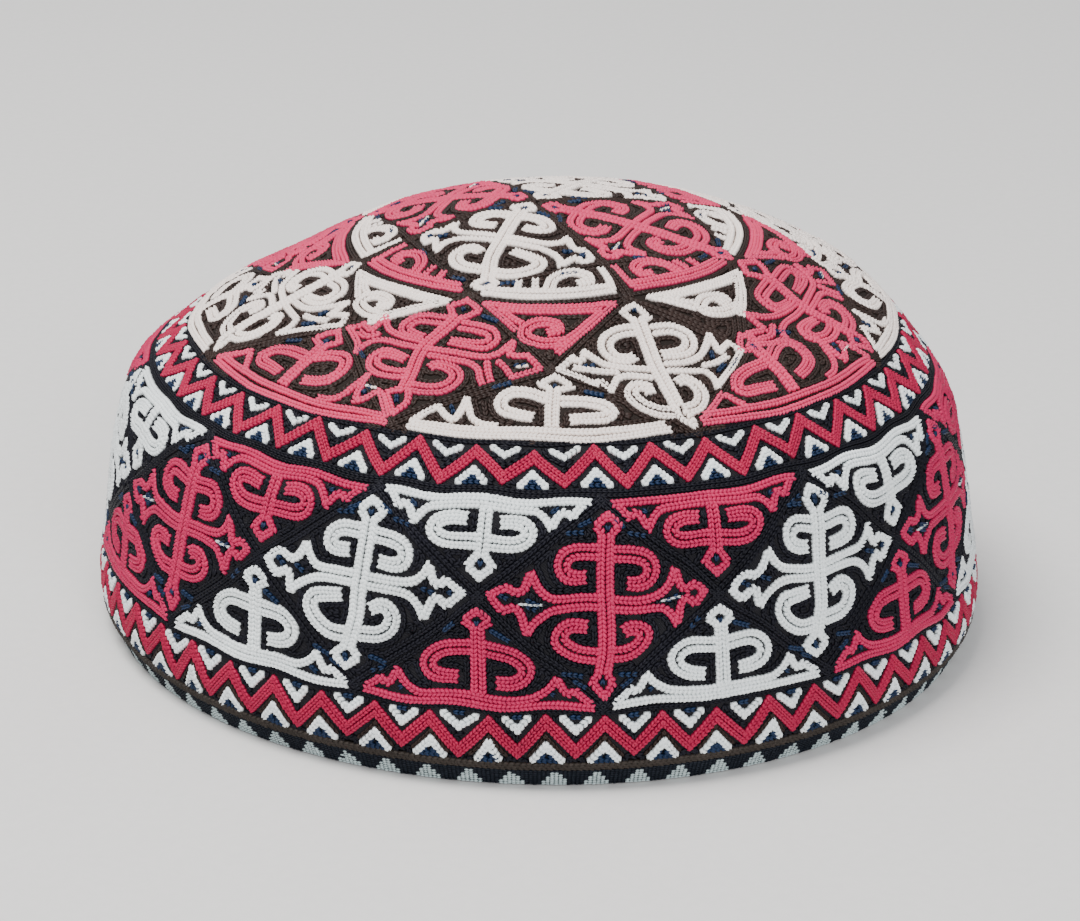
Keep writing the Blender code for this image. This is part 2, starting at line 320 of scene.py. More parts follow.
CROWN_CREAM = {
    "double": (
        (((19.2, -46.6), (20.4, -50.0), (21.6, -53.6), (23.0, -58.0), (24.4, -61.4),
          (26.4, -65.6), (28.0, -68.6)), 1.65, 1.5),
        (((18.8, -49.9), (15.8, -51.1), (13.5, -53.3), (13.3, -56.0), (15.0, -58.2),
          (17.6, -58.3), (18.8, -57.4)), 1.75, 0.9),
        (((22.6, -49.0), (25.6, -47.7), (28.7, -47.9), (30.2, -50.1), (29.3, -52.8),
          (26.8, -54.5), (24.9, -55.3)), 1.75, 0.95),
        (((27.4, -70.6), (24.3, -70.9), (20.8, -69.8), (18.6, -67.4), (19.4, -65.2),
          (21.6, -65.1), (22.4, -66.5)), 1.6, 0.9),
        (((30.2, -69.2), (32.4, -67.5), (33.0, -64.6), (31.6, -62.1), (29.2, -61.0),
          (28.0, -62.2)), 1.65, 0.9),
    ),
    "single": (
        ((18.2, -47.2), (17.2, -46.3), (15.9, -45.2), (17.0, -43.9), (18.2, -42.7)),
        ((20.0, -46.8), (20.8, -46.3), (21.5, -45.8), (20.0, -44.2), (18.2, -42.7)),
        ((21.8, -60.2), (17.0, -60.7), (13.2, -60.3), (10.8, -58.8), (9.0, -57.4)),
        ((9.0, -57.4), (8.9, -59.0), (8.1, -60.3), (6.8, -59.0)),
        ((6.8, -59.0), (5.6, -60.6), (4.3, -62.2)),
        ((22.4, -62.4), (18.0, -62.8), (15.7, -63.9), (15.2, -65.6), (14.7, -67.2)),
        ((14.7, -67.2), (13.3, -65.6), (12.2, -64.7), (11.6, -66.0)),
        ((11.6, -66.0), (9.4, -64.7), (6.6, -63.5), (4.3, -62.4)),
        ((15.6, -62.2), (11.0, -62.2), (7.4, -61.7)),
        ((25.4, -57.7), (29.6, -55.9), (32.4, -53.2), (33.6, -50.0), (34.2, -46.6)),
        ((34.2, -46.6), (35.6, -49.0), (36.6, -51.0), (37.4, -49.0), (38.4, -47.4)),
        ((38.4, -47.4), (39.8, -48.0), (41.2, -48.9)),
        ((26.0, -59.5), (30.4, -58.3), (33.4, -57.6), (35.4, -59.1), (36.2, -61.2)),
        ((36.2, -61.2), (37.6, -58.0), (39.4, -54.0), (41.2, -48.9)),
        ((33.4, -55.7), (36.0, -54.0), (38.0, -51.6)),
        ((27.9, -69.6), (29.2, -71.6), (32.1, -72.5)),
        ((30.0, -69.8), (31.4, -71.0), (32.1, -72.5)),
    ),
    "navy": (((18.4, -44.2), (18.5, -45.0)), ((34.8, -51.6), (35.0, -52.6)),
             ((9.4, -61.2), (10.8, -60.9)), ((36.4, -56.2), (37.4, -54.4))),
}
RIM = {
    "double": (
        (((2.2, -67.4), (2.1, -70.0), (2.0, -73.0), (2.1, -77.0)), 1.5, 1.45),
        (((0.6, -70.1), (-3.0, -68.6), (-6.4, -68.3), (-8.6, -70.2), (-8.1, -72.8),
          (-5.4, -74.2), (-2.2, -75.0)), 1.45, 1.1),
        (((4.2, -70.7), (9.0, -70.5), (12.6, -71.0), (14.5, -72.5), (13.0, -73.9),
          (9.4, -74.6), (6.2, -75.2)), 1.4, 1.1),
    ),
    "single": (
        ((-27.7, -74.3), (-21.8, -76.4), (-15.0, -78.2), (-8.2, -79.3), (0.0, -79.8),
         (6.0, -79.8), (11.0, -79.3), (18.9, -77.3), (26.8, -74.6)),
        ((-26.6, -73.6), (-21.8, -74.9), (-15.0, -76.7), (-8.2, -77.8), (0.0, -78.2),
         (6.0, -78.1), (11.0, -77.5), (18.9, -75.7), (25.4, -73.6)),
        ((-27.0, -73.2), (-24.4, -71.6), (-21.4, -70.1), (-20.2, -72.4), (-18.4, -74.2),
         (-17.2, -72.4), (-15.7, -68.9)),
        ((-15.7, -68.9), (-15.2, -71.6), (-14.6, -74.0), (-12.6, -75.8), (-9.6, -76.6)),
        ((1.4, -67.4), (0.4, -66.6), (-0.8, -66.0), (0.8, -65.0), (2.4, -63.9)),
        ((3.2, -67.6), (4.6, -67.2), (6.1, -66.7), (4.4, -65.2), (2.4, -63.9)),
    ),
    "navy": (((2.5, -66.6), (2.5, -67.3)), ((-18.8, -70.6), (-18.5, -71.8)),
             ((9.0, -67.8), (12.0, -68.4)), ((-10.0, -66.4), (-7.0, -65.6))),
}
# The short barb that only the red rim triangles have
RIM_BARB = ((26.6, -74.0), (22.8, -73.2), (18.6, -72.0), (17.2, -74.0), (15.6, -76.2))
# Head, right, foot and left corner of the two drawn diamonds, and where the corners near the front
# lie on the cap, by their kind and their place in steps of 22.5 degrees
RED_CORNERS = ((-16.0, -39.4), (0.9, -61.6), (-31.6, -72.8), (-42.6, -40.6))
CREAM_CORNERS = ((16.6, -41.2), (42.4, -48.4), (33.0, -73.6), (2.8, -62.4))
SEEN_CORNERS = {
    ("head", -1): RED_CORNERS[0], ("head", 1): CREAM_CORNERS[0], ("side", 0): (1.8, -62.0),
    ("foot", -1): RED_CORNERS[2], ("foot", 1): CREAM_CORNERS[2], ("side", -2): RED_CORNERS[3],
    ("side", 2): CREAM_CORNERS[1],
}
# How far the crown's other corners, its octagon and its rim lie from its middle
CORNER_REACH = {"head": 42.0, "side": 60.6, "foot": 79.0}
OCTAGON = 43.0
RIM_REACH = 79.8
# Half size of the band's diamonds, the level of their middles and the unit of their drawings
HALF_WIDE = 24.25
HALF_HIGH = 20.35
DIAMOND_MIDDLE = 39.1
DIAMONDS = 12
TENTH = 0.1
# Borders: zigzags around, degrees of a low point, lowest and highest level, half gap of the two rows
LOWER_BORDER = {"count": 52, "start": -43.66, "low": 8.95, "high": 15.2, "gap": 0.87}
UPPER_BORDER = {"count": 42, "start": -47.97, "low": 63.2, "high": 69.3, "gap": 0.74}
# Level, width and wander of the single ground rows along the borders
BORDER_ROWS = ((17.35, 0.95, 0.2), (60.35, 1.0, 0.2), (61.3, 1.0, 0.2), (71.25, 1.1, 0.1))
# Angles in degrees of the first red diamond and of the crown's front
FIRST_DIAMOND = 8.0
CROWN_START = 0.57
# Widths of single rows in the drawings, before a chart's own thickness
CROSS_ROW = 1.66
HALF_ROW = 1.6
CROWN_ROW = 1.5
# Widths of the cream slits and of the double ground rows between the motifs, and their half gap
SLIT_ROW = 0.5
LATTICE_ROW = 1.15
LATTICE_GAP = 0.6
# Steps in millimetres between the points of a ground row, and of the grid that it is traced on
GROUND_STEP = 0.4
FIELD_STEP = 0.36
# Lowest and highest level of the band's ground, the reach of the crown's and half its chart's size
BAND_GROUND = (6.6, 71.0)
CROWN_GROUND = 80.7
CROWN_CHART = 81
# Threads whose stitches are as long and as low as the ground's
LOW_THREADS = ("ground", "outline")

# Points around the cloth shells and the trim's tape, and rings up the shells' outer faces
CLOTH_AROUND = 256
TAPE_AROUND = 320
CLOTH_RINGS = 44
# Points on the braid's two rows, their half gap and the width of each
BRAID_POINTS = 1400
BRAID_GAP = 0.36
BRAID_ROW = 1.1
# The trim's stepped triangles: knots across one, half its width on each level, the level of the
# lowest knots, and half the short line that a knot is set on
TRIANGLE_KNOTS = 10
TRIANGLE_STEPS = (2.45, 2.45, 1.65, 1.65, 0.85, 0.85, 0.0)
LOWEST_KNOT = 0.46
KNOT_HALF = np.array((0.04, 0.004))

# The photograph's view: distance in metres, height and roll in degrees, the point in the middle,
# and the lens and sensor in millimetres
VIEW_DISTANCE = 0.7736
VIEW_HEIGHT = 21.394
VIEW_ROLL = 1.208
VIEW_MIDDLE = (-0.00029, 0.0, 0.03211)
VIEW_LENS = 119.156
VIEW_SENSOR = 36.0
# Place, width, power and colour of the two soft lights
LAMPS = {
    "window": ((-0.45, -0.15, 1.35), 0.8, 25.0, (1.0, 0.98, 0.96)),
    "front fill": ((0.35, -1.5, 0.8), 0.8, 16.0, (0.97, 0.98, 1.0)),
}


def rounded(points, spacing=0.35):
    """A smooth line through the points that keeps the sharp corners, evenly stepped."""
    points = np.array(points, float)
    leg = np.diff(points, axis=0)
    heading = np.arctan2(leg[:, 1], leg[:, 0])
    bend = np.abs((np.diff(heading) + math.pi) % (2 * math.pi) - math.pi)
    cuts = [0] + [k + 1 for k in range(len(bend)) if bend[k] > math.radians(65)]
    cuts.append(len(points) - 1)
    runs = []
    for first, last in zip(cuts[:-1], cuts[1:]):
        part = points[first:last + 1]
        padded = np.vstack([2 * part[0] - part[1], part, 2 * part[-1] - part[-2]])
        for k in range(1, len(padded) - 2):
            a, b, c, d = padded[k - 1:k + 3]
            count = max(2, int(np.hypot(*(c - b)) / spacing))
            t = np.linspace(0, 1, count, endpoint=False)[:, None]
            curve = 2 * b + (c - a) * t + (2 * a - 5 * b + 4 * c - d) * t**2
            runs.append((curve + (3 * b - a - 3 * c + d) * t**3) / 2)
    runs.append(points[-1:])
    return np.vstack(runs)


def beside(line, shift):
    """The line moved sideways by a shift at each point, to its left where that is positive."""
    along = np.gradient(line, axis=0)
    along = along / np.maximum(np.linalg.norm(along, axis=1, keepdims=True), 1e-9)
    return line + np.stack([-along[:, 1], along[:, 0]], 1) * np.asarray(shift)[:, None]


def wandered(points, seed, size):
    """A smooth wander of the chart, as a pattern drawn by hand has."""
    points = np.array(points, float)
    rng = np.random.default_rng(seed)
    out = points.copy()
    for _ in range(7):
        turn = rng.uniform(0, 2 * math.pi)
        wave = 2 * math.pi / rng.uniform(14, 45)
        # a whole number of waves around the cap, so that the chart closes
        across = round(math.cos(turn) * wave * CHART_RADIUS) / CHART_RADIUS
        phase = rng.uniform(0, 2 * math.pi)
        swing = np.sin(points[:, 0] * across + points[:, 1] * math.sin(turn) * wave + phase)
        out += size * 0.4 * swing[:, None] * rng.normal(size=2)
    return out


class Chart:
    """A flat drawing of stitch rows in millimetres."""

    def __init__(self, to_cap, seed, thick, around=0.0):
        self.to_cap = to_cap
        self.seed = seed
        self.thick = thick
        self.around = around
        self.rows = []

    def row(self, thread, points, breadth, wander=0.32):
        """One row of stitches, with the wander of a hand."""
        self.rows.append((thread, wandered(points, self.seed, wander), breadth))

    def double(self, thread, line, first, last):
        """Two rows side by side, which may narrow towards the end."""
        share = np.linspace(0, 1, len(line))
        pitch = first + (last - first) * np.clip((share - 0.6) / 0.4, 0, 1)
        pitch = pitch * self.thick
        wide = (0.7 * first + 0.3 * last) * self.thick
        for side in (1, -1):
            self.row(thread, beside(line, side * pitch / 2), wide)

    def lattice(self, edge):
        """Two ground rows along an edge between two motifs."""
        for shift in (-LATTICE_GAP, LATTICE_GAP):
            self.row("ground", beside(edge, np.full(len(edge), shift)), LATTICE_ROW)

    def work(self, thread, drawing, place, single, scale=1.0, navy=1.0):
        """Works a drawing in one thread, set where it belongs by a placing function."""
        def placed(points):
            return place(rounded(np.array(points) * scale))

        for points, first, last in drawing.get("double", ()):
            self.double(thread, placed(points), first, last)
        for points in drawing.get("single", ()):
            self.row(thread, placed(points), single * self.thick)
        for points in drawing.get("navy", ()):
            self.row("navy", placed(points), navy)
        for points in drawing.get("slits", ()):
            self.row("cream", placed(points), SLIT_ROW)


def trace(field, xs, ys, level):
    """Lines along which a field on a grid has the level."""
    above = field > level
    flat = above[:, 1:] != above[:, :-1]
    steep = above[1:, :] != above[:-1, :]
    count = int(flat.sum())
    flat_id = np.full(flat.shape, -1)
    flat_id[flat] = np.arange(count)
    steep_id = np.full(steep.shape, -1)
    steep_id[steep] = count + np.arange(int(steep.sum()))
    j, i = np.nonzero(flat)
    share = (level - field[j, i]) / (field[j, i + 1] - field[j, i])
    points = [np.stack([xs[i] + share * (xs[1] - xs[0]), ys[j]], 1)]
    j, i = np.nonzero(steep)
    share = (level - field[j, i]) / (field[j + 1, i] - field[j, i])
    points.append(np.stack([xs[i], ys[j] + share * (ys[1] - ys[0])], 1))
    points = np.vstack(points)
    sides = np.stack([flat_id[:-1], steep_id[:, 1:], flat_id[1:], steep_id[:, :-1]])
    crossed = (sides >= 0).sum(0)
    two = np.sort(sides[:, crossed == 2], axis=0)[2:].T
    four = sides[:, crossed == 4]
    pairs = np.vstack([two, four[[0, 3]].T, four[[1, 2]].T])
    links = [[] for _ in range(len(points))]
    for a, b in pairs.tolist():
        links[a].append(b)
        links[b].append(a)
    seen = np.zeros(len(points), bool)
    order = [k for k in range(len(points)) if len(links[k]) == 1] + list(range(len(points)))
    lines = []
    for start in order:
        if seen[start]:
            continue
        line = [start]
        seen[start] = True
        here = start
        while True:
            ahead = [k for k in links[here] if not seen[k]]
            if not ahead:
                break
            here = ahead[0]
            seen[here] = True
            line.append(here)
        if len(line) > 3 and start in links[here]:
            line.append(start)
        lines.append(points[line])
    return [part for line in lines for part in whole_parts(line)]


def whole_parts(line):
    """The parts of a line between its missing points."""
    bad = np.isnan(line).any(axis=1)
    parts = np.split(line, np.nonzero(bad)[0])
    parts = [part[~np.isnan(part).any(axis=1)] for part in parts]
    return [part for part in parts if len(part) > 3]


def even(line, spacing):
    """The line stepped evenly."""
    run = np.concatenate(([0.0], np.cumsum(np.hypot(*np.diff(line, axis=0).T))))
    count = max(2, int(round(run[-1] / spacing)) + 1)
    where = np.linspace(0, run[-1], count)
    return np.stack([np.interp(where, run, line[:, k]) for k in (0, 1)], 1)


class Worked:
    """Remembers where ground rows already lie, so that the next ones keep their distance."""

    CELL = 0.2

    def __init__(self, low, high):
        self.low = np.array(low) - 3
        size = np.ceil((np.array(high) + 3 - self.low) / self.CELL).astype(int)
        self.grid = np.zeros((size[1], size[0]), bool)

    def lay(self, line, keep):
        """The parts of the line that stay clear of earlier rows, and of its own far end."""
        reach = int(round(keep / self.CELL))
        y, x = np.mgrid[-reach:reach + 1, -reach:reach + 1]
        disc = x * x + y * y <= reach * reach
        cells = ((line - self.low) / self.CELL).astype(int)
        delay = int(2.6 * keep / GROUND_STEP)
        parts = []
        free = []
        waiting = []
        for k, (i, j) in enumerate(cells):
            # a row's own last points count only once it has gone on past them
            if self.grid[j, i]:
                if len(free) > 3:
                    parts.append(line[free])
                free = []
            else:
                free.append(k)
                waiting.append((k, i, j))
            while waiting and waiting[0][0] < k - delay:
                self.stamp(waiting.pop(0), reach, disc)
        for one in waiting:
            self.stamp(one, reach, disc)
        if len(free) > 3:
            parts.append(line[free])
        return parts

    def stamp(self, one, reach, disc):
        _, i, j = one
        self.grid[j - reach:j + reach + 1, i - reach:i + reach + 1] |= disc


def pattern_tree(chart, reach):
    """Marks on every row of the pattern, found by their place, and half the width of each row."""
    marks = []
    halves = []
    for _, line, wide in chart.rows:
        for copy in (-1, 0, 1):
            shifted = even(line, 0.3) + np.array((copy * chart.around, 0.0))
            if copy and (not chart.around or np.abs(shifted[:, 0]).min() > reach):
                continue
            marks.append(shifted)
            halves.append(np.full(len(shifted), wide / 2))
    marks = np.vstack(marks)
    tree = kdtree.KDTree(len(marks))
    for k, (x, y) in enumerate(marks.tolist()):
        tree.insert((x, y, 0.0), k)
    tree.balance()
    return tree, np.concatenate(halves)


def work_ground(chart, low, high, inside, breadth):
    """Fills the free ground of a chart with rows that follow the pattern around them."""
    tree, halves = pattern_tree(chart, high[0] + 4)
    xs = np.arange(low[0], high[0] + FIELD_STEP, FIELD_STEP)
    ys = np.arange(low[1], high[1] + FIELD_STEP, FIELD_STEP)
    field = np.full((len(ys), len(xs)), np.nan)
    for j, y in enumerate(ys.tolist()):
        for i, x in enumerate(xs.tolist()):
            if inside(x, y):
                _, k, away = tree.find((x, y, 0.0))
                field[j, i] = away - halves[k]
    # rows side by side outwards from the pattern, then closer ones that fill what is left
    levels = [(breadth * (0.5 + k), 0.78 * breadth) for k in range(6)]
    levels += [(breadth * (k + 0.95), 0.86 * breadth) for k in range(4)]
    levels += [(breadth * 0.38, 0.86 * breadth)]
    worked = Worked(low, high)
    for level, keep in levels:
        for line in trace(field, xs, ys, level):
            line = even(line, GROUND_STEP)
            for _ in range(3):
                line[1:-1] = (line[:-2] + 2 * line[1:-1] + line[2:]) / 4
            for part in worked.lay(line, keep):
                chart.rows.append(("ground", part, breadth))


def in_quad(corners, swell):
    """Sets a diamond's drawing between four corners: head, right, foot and left."""
    head, right, foot, left = [np.array(c, float) for c in corners]

    def place(points):
        x = points[:, 0] / HALF_WIDE
        y = points[:, 1] / HALF_HIGH
        # a fuller drawing has its curls nearer to the diamond's sides
        fuller = 1 + swell * np.sin(math.pi * np.clip(np.abs(x) + np.abs(y), 0, 1))
        x = x * fuller
        y = y * fuller
        a = ((y + x) / 2 + 0.5)[:, None]
        b = ((y - x) / 2 + 0.5)[:, None]
        return head * a * b + right * a * (1 - b) + foot * (1 - a) * (1 - b) + left * (1 - a) * b

    return place


def polar(angle, reach):
    """A point on the crown chart, from degrees and millimetres."""
    a = math.radians(angle)
    return np.array((math.sin(a) * reach, -math.cos(a) * reach))


def straight(a, b, spacing=1.0):
    """A straight line between two points, evenly stepped."""
    a = np.array(a, float)
    b = np.array(b, float)
    return a + (b - a) * np.linspace(0, 1, max(2, int(np.hypot(*(b - a)) / spacing)))[:, None]


def level_line(level, count):
    """A level line all around the band chart."""
    return np.stack([np.linspace(-GIRTH / 2, GIRTH / 2, count), np.full(count, level)], 1)


def band_chart(seed):
    """The whole side band: two zigzag borders and the diamonds between them."""
    chart = Chart(band_to_cap, seed, 1.09, GIRTH)
    rng = np.random.default_rng(seed)
    for k in range(DIAMONDS):
        band_diamond(chart, k, rng)
    for level, wide, wander in BORDER_ROWS:
        chart.row("ground", level_line(level, 700), wide, wander)
    zigzag(chart, LOWER_BORDER, rng)
    zigzag(chart, UPPER_BORDER, rng)
    lower_fillings(chart, rng)
    upper_fillings(chart, rng)
    wrap(chart)
    return chart


def band_diamond(chart, k, rng):
    """One diamond of the band with its cross, and the two half diamonds at its left corner."""
    angle = FIRST_DIAMOND + 360 / DIAMONDS * k
    angle = (angle + 180) % 360 - 180
    middle = np.array((angle * DEGREE, DIAMOND_MIDDLE))
    half = middle - np.array((180 / DIAMONDS * DEGREE, 0))
    skew = rng.uniform(-0.02, 0.02)
    size = rng.uniform(0.985, 1.015, 2)
    shift = rng.uniform(-0.3, 0.3, 2)

    def place(points):
        bent = points * size + shift
        bent[:, 0] += skew * points[:, 1]
        return bent + middle

    def place_half(points):
        return points * size + half

    own, other = ("cream", "red") if k % 2 else ("red", "cream")
    chart.work(own, CROSS_CREAM if k % 2 else CROSS_RED, place, CROSS_ROW, TENTH, 1.1)
    half_diamond(chart, other, HALF_HANGING, place_half)
    half_diamond(chart, own, HALF_STANDING, place_half)
    for x, y in ((1, 1), (1, -1), (-1, 1), (-1, -1)):
        chart.lattice(straight((0, y * HALF_HIGH), (x * HALF_WIDE, 0)) + middle)


def half_diamond(chart, thread, drawing, place):
    """Works one half diamond, both of its sides from the drawing of the right one."""
    chart.work(thread, {"double": drawing["stem"]}, place, HALF_ROW, TENTH)
    for side in (1, -1):
        chart.work(thread, drawing, place, HALF_ROW, np.array((side, 1.0)) * TENTH)


def low_points(border):
    """The places of a border's low points, from the left end of the chart."""
    step = GIRTH / border["count"]
    first = border["start"] * DEGREE
    return [first + (k - border["count"] // 2) * step for k in range(border["count"])], step


def lower_fillings(chart, rng):
    """The V shapes that hang into the lower border, and the roofs that stand in it."""
    places, step = low_points(LOWER_BORDER)
    for low in places:
        x = rng.normal(0, 0.22)
        spread = rng.normal(0, 0.2)
        chevron(chart, "cream", 1.7, (low + x, 16.0), (low, 13.6), 2.4 + spread)
        chart.row("cream", straight((low, 14.1), (low, 14.9), 0.4), 1.2, 0.1)
        navy_patch(chart, low, 16.35, 0.5)
        high = low + step / 2
        chevron(chart, "cream", 1.7, (high, 6.9), (high + x, 10.5 + spread), 2.6 - spread)
        chart.row("cream", straight((high + x, 10.2), (high + x, 9.2), 0.4), 1.2, 0.1)
        chevron(chart, "outline", 0.85, (high, 8.2), (high + x, 12.2), 3.2)
        navy_patch(chart, high, 6.9, 1.5)
        navy_patch(chart, high, 7.9, 0.8)


def upper_fillings(chart, rng):
    """The V shapes and roofs of the upper border."""
    places, step = low_points(UPPER_BORDER)
    for low in places:
        x = rng.normal(0, 0.25)
        high = low + step / 2
        chevron(chart, "cream", 1.45, (low, 69.9), (low + x, 68.3), 2.9)
        chevron(chart, "cream", 1.7, (high, 62.4), (high + x, 65.1), 2.8)
        navy_patch(chart, high, 62.3, 1.3)
        navy_patch(chart, high, 63.4, 0.5)


def zigzag(chart, border, rng):
    """A border of two red rows that climb and fall."""
    lows, step = low_points(border)
    ups = rng.normal(0, 0.3, len(lows) + 1)
    tops = rng.normal(0, 0.3, len(lows) + 1)
    ups[-1] = ups[0]
    tops[-1] = tops[0]
    for k, x in enumerate(lows):
        a = np.array((x, border["low"] + ups[k]))
        b = np.array((x + step / 2, border["high"] + tops[k]))
        c = np.array((x + step, border["low"] + ups[k + 1]))
        for lift in (-border["gap"], border["gap"]):
            shift = np.array((0, lift))
            chart.row("zigzag", straight(a + shift, b + shift, 0.5), 1.3, 0.2)
            chart.row("zigzag", straight(b + shift, c + shift, 0.5), 1.3, 0.2)


def chevron(chart, thread, wide, foot, tip, half):
    """Two short rows that meet in a point."""
    for side in (-1, 1):
        start = (foot[0] + side * half, foot[1])
        chart.row(thread, straight(start, tip, 0.4), wide, 0.2)


def navy_patch(chart, x, level, half):
    """One short navy row."""
    chart.row("navy", straight((x - half, level), (x + half, level), 0.4), 1.05, 0.2)


def wrap(chart):
    """Brings the rows that run past the chart's ends back onto it."""
    kept = []
    for thread, line, wide in chart.rows:
        middle = line[:, 0].mean()
        turns = math.floor((middle + GIRTH / 2) / GIRTH)
        kept.append((thread, line - np.array((turns * GIRTH, 0.0)), wide))
    chart.rows = kept


def outer_corners(k):
    """Head, right, foot and left corner of one outer diamond, on the crown chart."""
    def corner(kind, step):
        angle = (step * 22.5 + 180) % 360 - 180
        seen = SEEN_CORNERS.get((kind, round(angle / 22.5)))
        return seen or tuple(polar(angle + CROWN_START, CORNER_REACH[kind]))

    step = 2 * k + 1
    return (corner("head", step), corner("side", step + 1), corner("foot", step),
            corner("side", step - 1))


def carry(source, target):
    """A placing function that carries four corners onto four others, keeping lines straight."""
    rows = []
    values = []
    for (x, y), (u, v) in zip(source, target):
        rows.append((x, y, 1, 0, 0, 0, -u * x, -u * y))
        rows.append((0, 0, 0, x, y, 1, -v * x, -v * y))
        values += [u, v]
    a, b, c, d, e, f, g, h = np.linalg.solve(np.array(rows, float), np.array(values, float))

    def place(points):
        x, y = points[:, 0], points[:, 1]
        deep = g * x + h * y + 1
        return np.stack([(a * x + b * y + c) / deep, (d * x + e * y + f) / deep], 1)

    return place


def crown_chart(seed):
    """The whole crown: eight parts around an octagon, and four kites inside it."""
    chart = Chart(crown_to_cap, seed, 1.08)
    for k in range(8):
        crown_eighth(chart, k)
    turn = np.linspace(-math.pi, math.pi, 280)
    chart.row("ground", np.stack([np.sin(turn), -np.cos(turn)], 1) * OCTAGON, LATTICE_ROW)
    for k in range(4):
        kite(chart, k)
    return chart


def crown_eighth(chart, k):
    """A rim triangle, the outer diamond on its right and the inner triangle above it."""
    odd = k % 2
    flip = np.array((-1.0 if odd else 1.0, 1.0))
    # the triangles at the sides and the back are a little taller than the front one
    tall = 1.24 if odd else 1.12 if k else 1.0

    def on_rim(points):
        moved = points * flip + np.array((0.5 * odd, 0.0))
        reach = np.hypot(moved[:, 0], moved[:, 1])
        higher = (RIM_REACH - (RIM_REACH - reach) * tall) / reach
        return turned(moved * higher[:, None], 45 * k)

    thread, other = ("red", "cream") if odd else ("cream", "red")
    chart.work(thread, RIM, on_rim, CROWN_ROW)
    if odd:
        chart.row("red", on_rim(rounded(RIM_BARB)), CROWN_ROW * chart.thick)
    corners = outer_corners(k)
    carried = carry(RED_CORNERS if odd else CREAM_CORNERS, corners)
    chart.work(thread, CROWN_RED if odd else CROWN_CREAM, carried, CROWN_ROW)
    inner_triangle(chart, other, CROWN_START + 45 * k, 0.86 if odd else 1.0)
    for i in range(4):
        chart.lattice(straight(corners[i], corners[(i + 1) % 4]))


def kite(chart, k):
    """One kite between the middle and the octagon, with the thin triangles on its edges."""
    axis = CROWN_START - 22.5 + 90 * k
    corners = (polar(axis, 0.6), polar(axis - 43, 30.6), polar(axis, 43.2), polar(axis + 43, 30.6))
    thread, cross = ("red", CROSS_RED) if k % 2 else ("cream", CROSS_CREAM)
    chart.work(thread, cross, in_quad(corners, 0.17), CROSS_ROW, TENTH, 1.1)
    corner_triangle(chart, "cream", axis, 1)
    corner_triangle(chart, "red", axis + 90, -1)
    chart.lattice(straight(polar(axis + 45, 1.5), polar(axis + 45, 43.4)))
    for side in (-1, 1):
        edge = straight(polar(axis, OCTAGON), polar(axis + side * 45, 31.0))
        chart.row("ground", edge, LATTICE_ROW)


def turned(points, angle):
    """Points drawn for the front of the crown, turned by an angle in degrees."""
    a = math.radians(angle)
    spin = np.array(((math.cos(a), math.sin(a)), (-math.sin(a), math.cos(a))))
    return np.array(points, float) @ spin


def inner_triangle(chart, thread, middle, tall):
    """The triangle that stands on one side of the octagon, with its single curl."""
    def placed(line):
        lower = np.array(line)
        lower[:, 1] = -44.0 + (lower[:, 1] + 44.0) * tall
        return turned(lower, middle)

    for points in (((-13.2, -42.6), (-5, -44.2), (5.0, -44.4), (13.8, -43.0)),
                   ((-10.0, -44.6), (-4, -45.6), (5.0, -45.9), (11.0, -45.2)),
                   ((13.4, -43.6), (8.2, -50.8), (2.6, -57.4)),
                   ((10.8, -46.0), (6.4, -51.4), (1.6, -56.0)),
                   ((-12.8, -43.0), (-9.6, -47.0), (-6.6, -50.6)),
                   ((-9.4, -44.8), (-7.2, -47.4), (-5.6, -48.6))):
        chart.row(thread, placed(rounded(points)), 1.7)
    curl = rounded(((3.8, -54.4), (-0.8, -54.6), (-4.4, -52.8), (-4.6, -50.2), (-1.8, -48.8),
                    (1.6, -49.4), (2.6, -51.2), (0.4, -51.8)))
    chart.double(thread, placed(curl), 1.5, 0.9)


def corner_triangle(chart, thread, axis, side):
    """The thin triangle between a kite, a spoke and the octagon, with its curl at the spoke."""
    flip = np.array((side, 1.0))
    for points in (((2.6, -41.4), (9.2, -40.4), (16.0, -38.2), (22.2, -34.8), (27.4, -30.8)),
                   ((3.4, -39.8), (9.0, -38.6), (15.4, -36.4), (21.2, -33.2), (26.0, -29.6)),
                   ((27.0, -30.2), (24.4, -26.8), (22.2, -24.4)),
                   ((8.6, -37.6), (8.2, -35.8)), ((12.0, -36.4), (11.2, -34.0))):
        chart.row(thread, turned(rounded(np.array(points) * flip), axis), 1.7)
    curl = rounded(np.array(((14.8, -35.6), (14.6, -32.2), (16.8, -28.8), (20.2, -28.2),
                             (21.8, -30.0), (20.0, -31.6))) * flip)
    chart.double(thread, turned(curl, axis), 1.35, 0.9)


class Tree:
    """A node tree that is filled one node at a time."""

    def __init__(self, tree):
        self.tree = tree
        tree.nodes.clear()

    def node(self, kind, settings=None, inputs=None):
        made = self.tree.nodes.new(kind)
        for key, value in (settings or {}).items():
            if key == "stops":
                ramp = made.color_ramp
                while len(ramp.elements) < len(value):
                    ramp.elements.new(0.5)
                for element, (place, colour) in zip(ramp.elements, value):
                    element.position = place
                    element.color = tuple(colour) + (1.0,)
            else:
                setattr(made, key, value)
        for key, value in (inputs or {}).items():
            if isinstance(value, Number):
                value = value.socket
            if isinstance(value, bpy.types.NodeSocket):
                self.tree.links.new(value, made.inputs[key])
            else:
                made.inputs[key].default_value = value
        return made

    def number(self, kind, settings=None, inputs=None, output=0):
        return Number(self, self.node(kind, settings, inputs).outputs[output])


def used(sockets):
    """The first socket in use on a node whose sockets depend on its data type."""
    return next(socket for socket in sockets if socket.enabled)


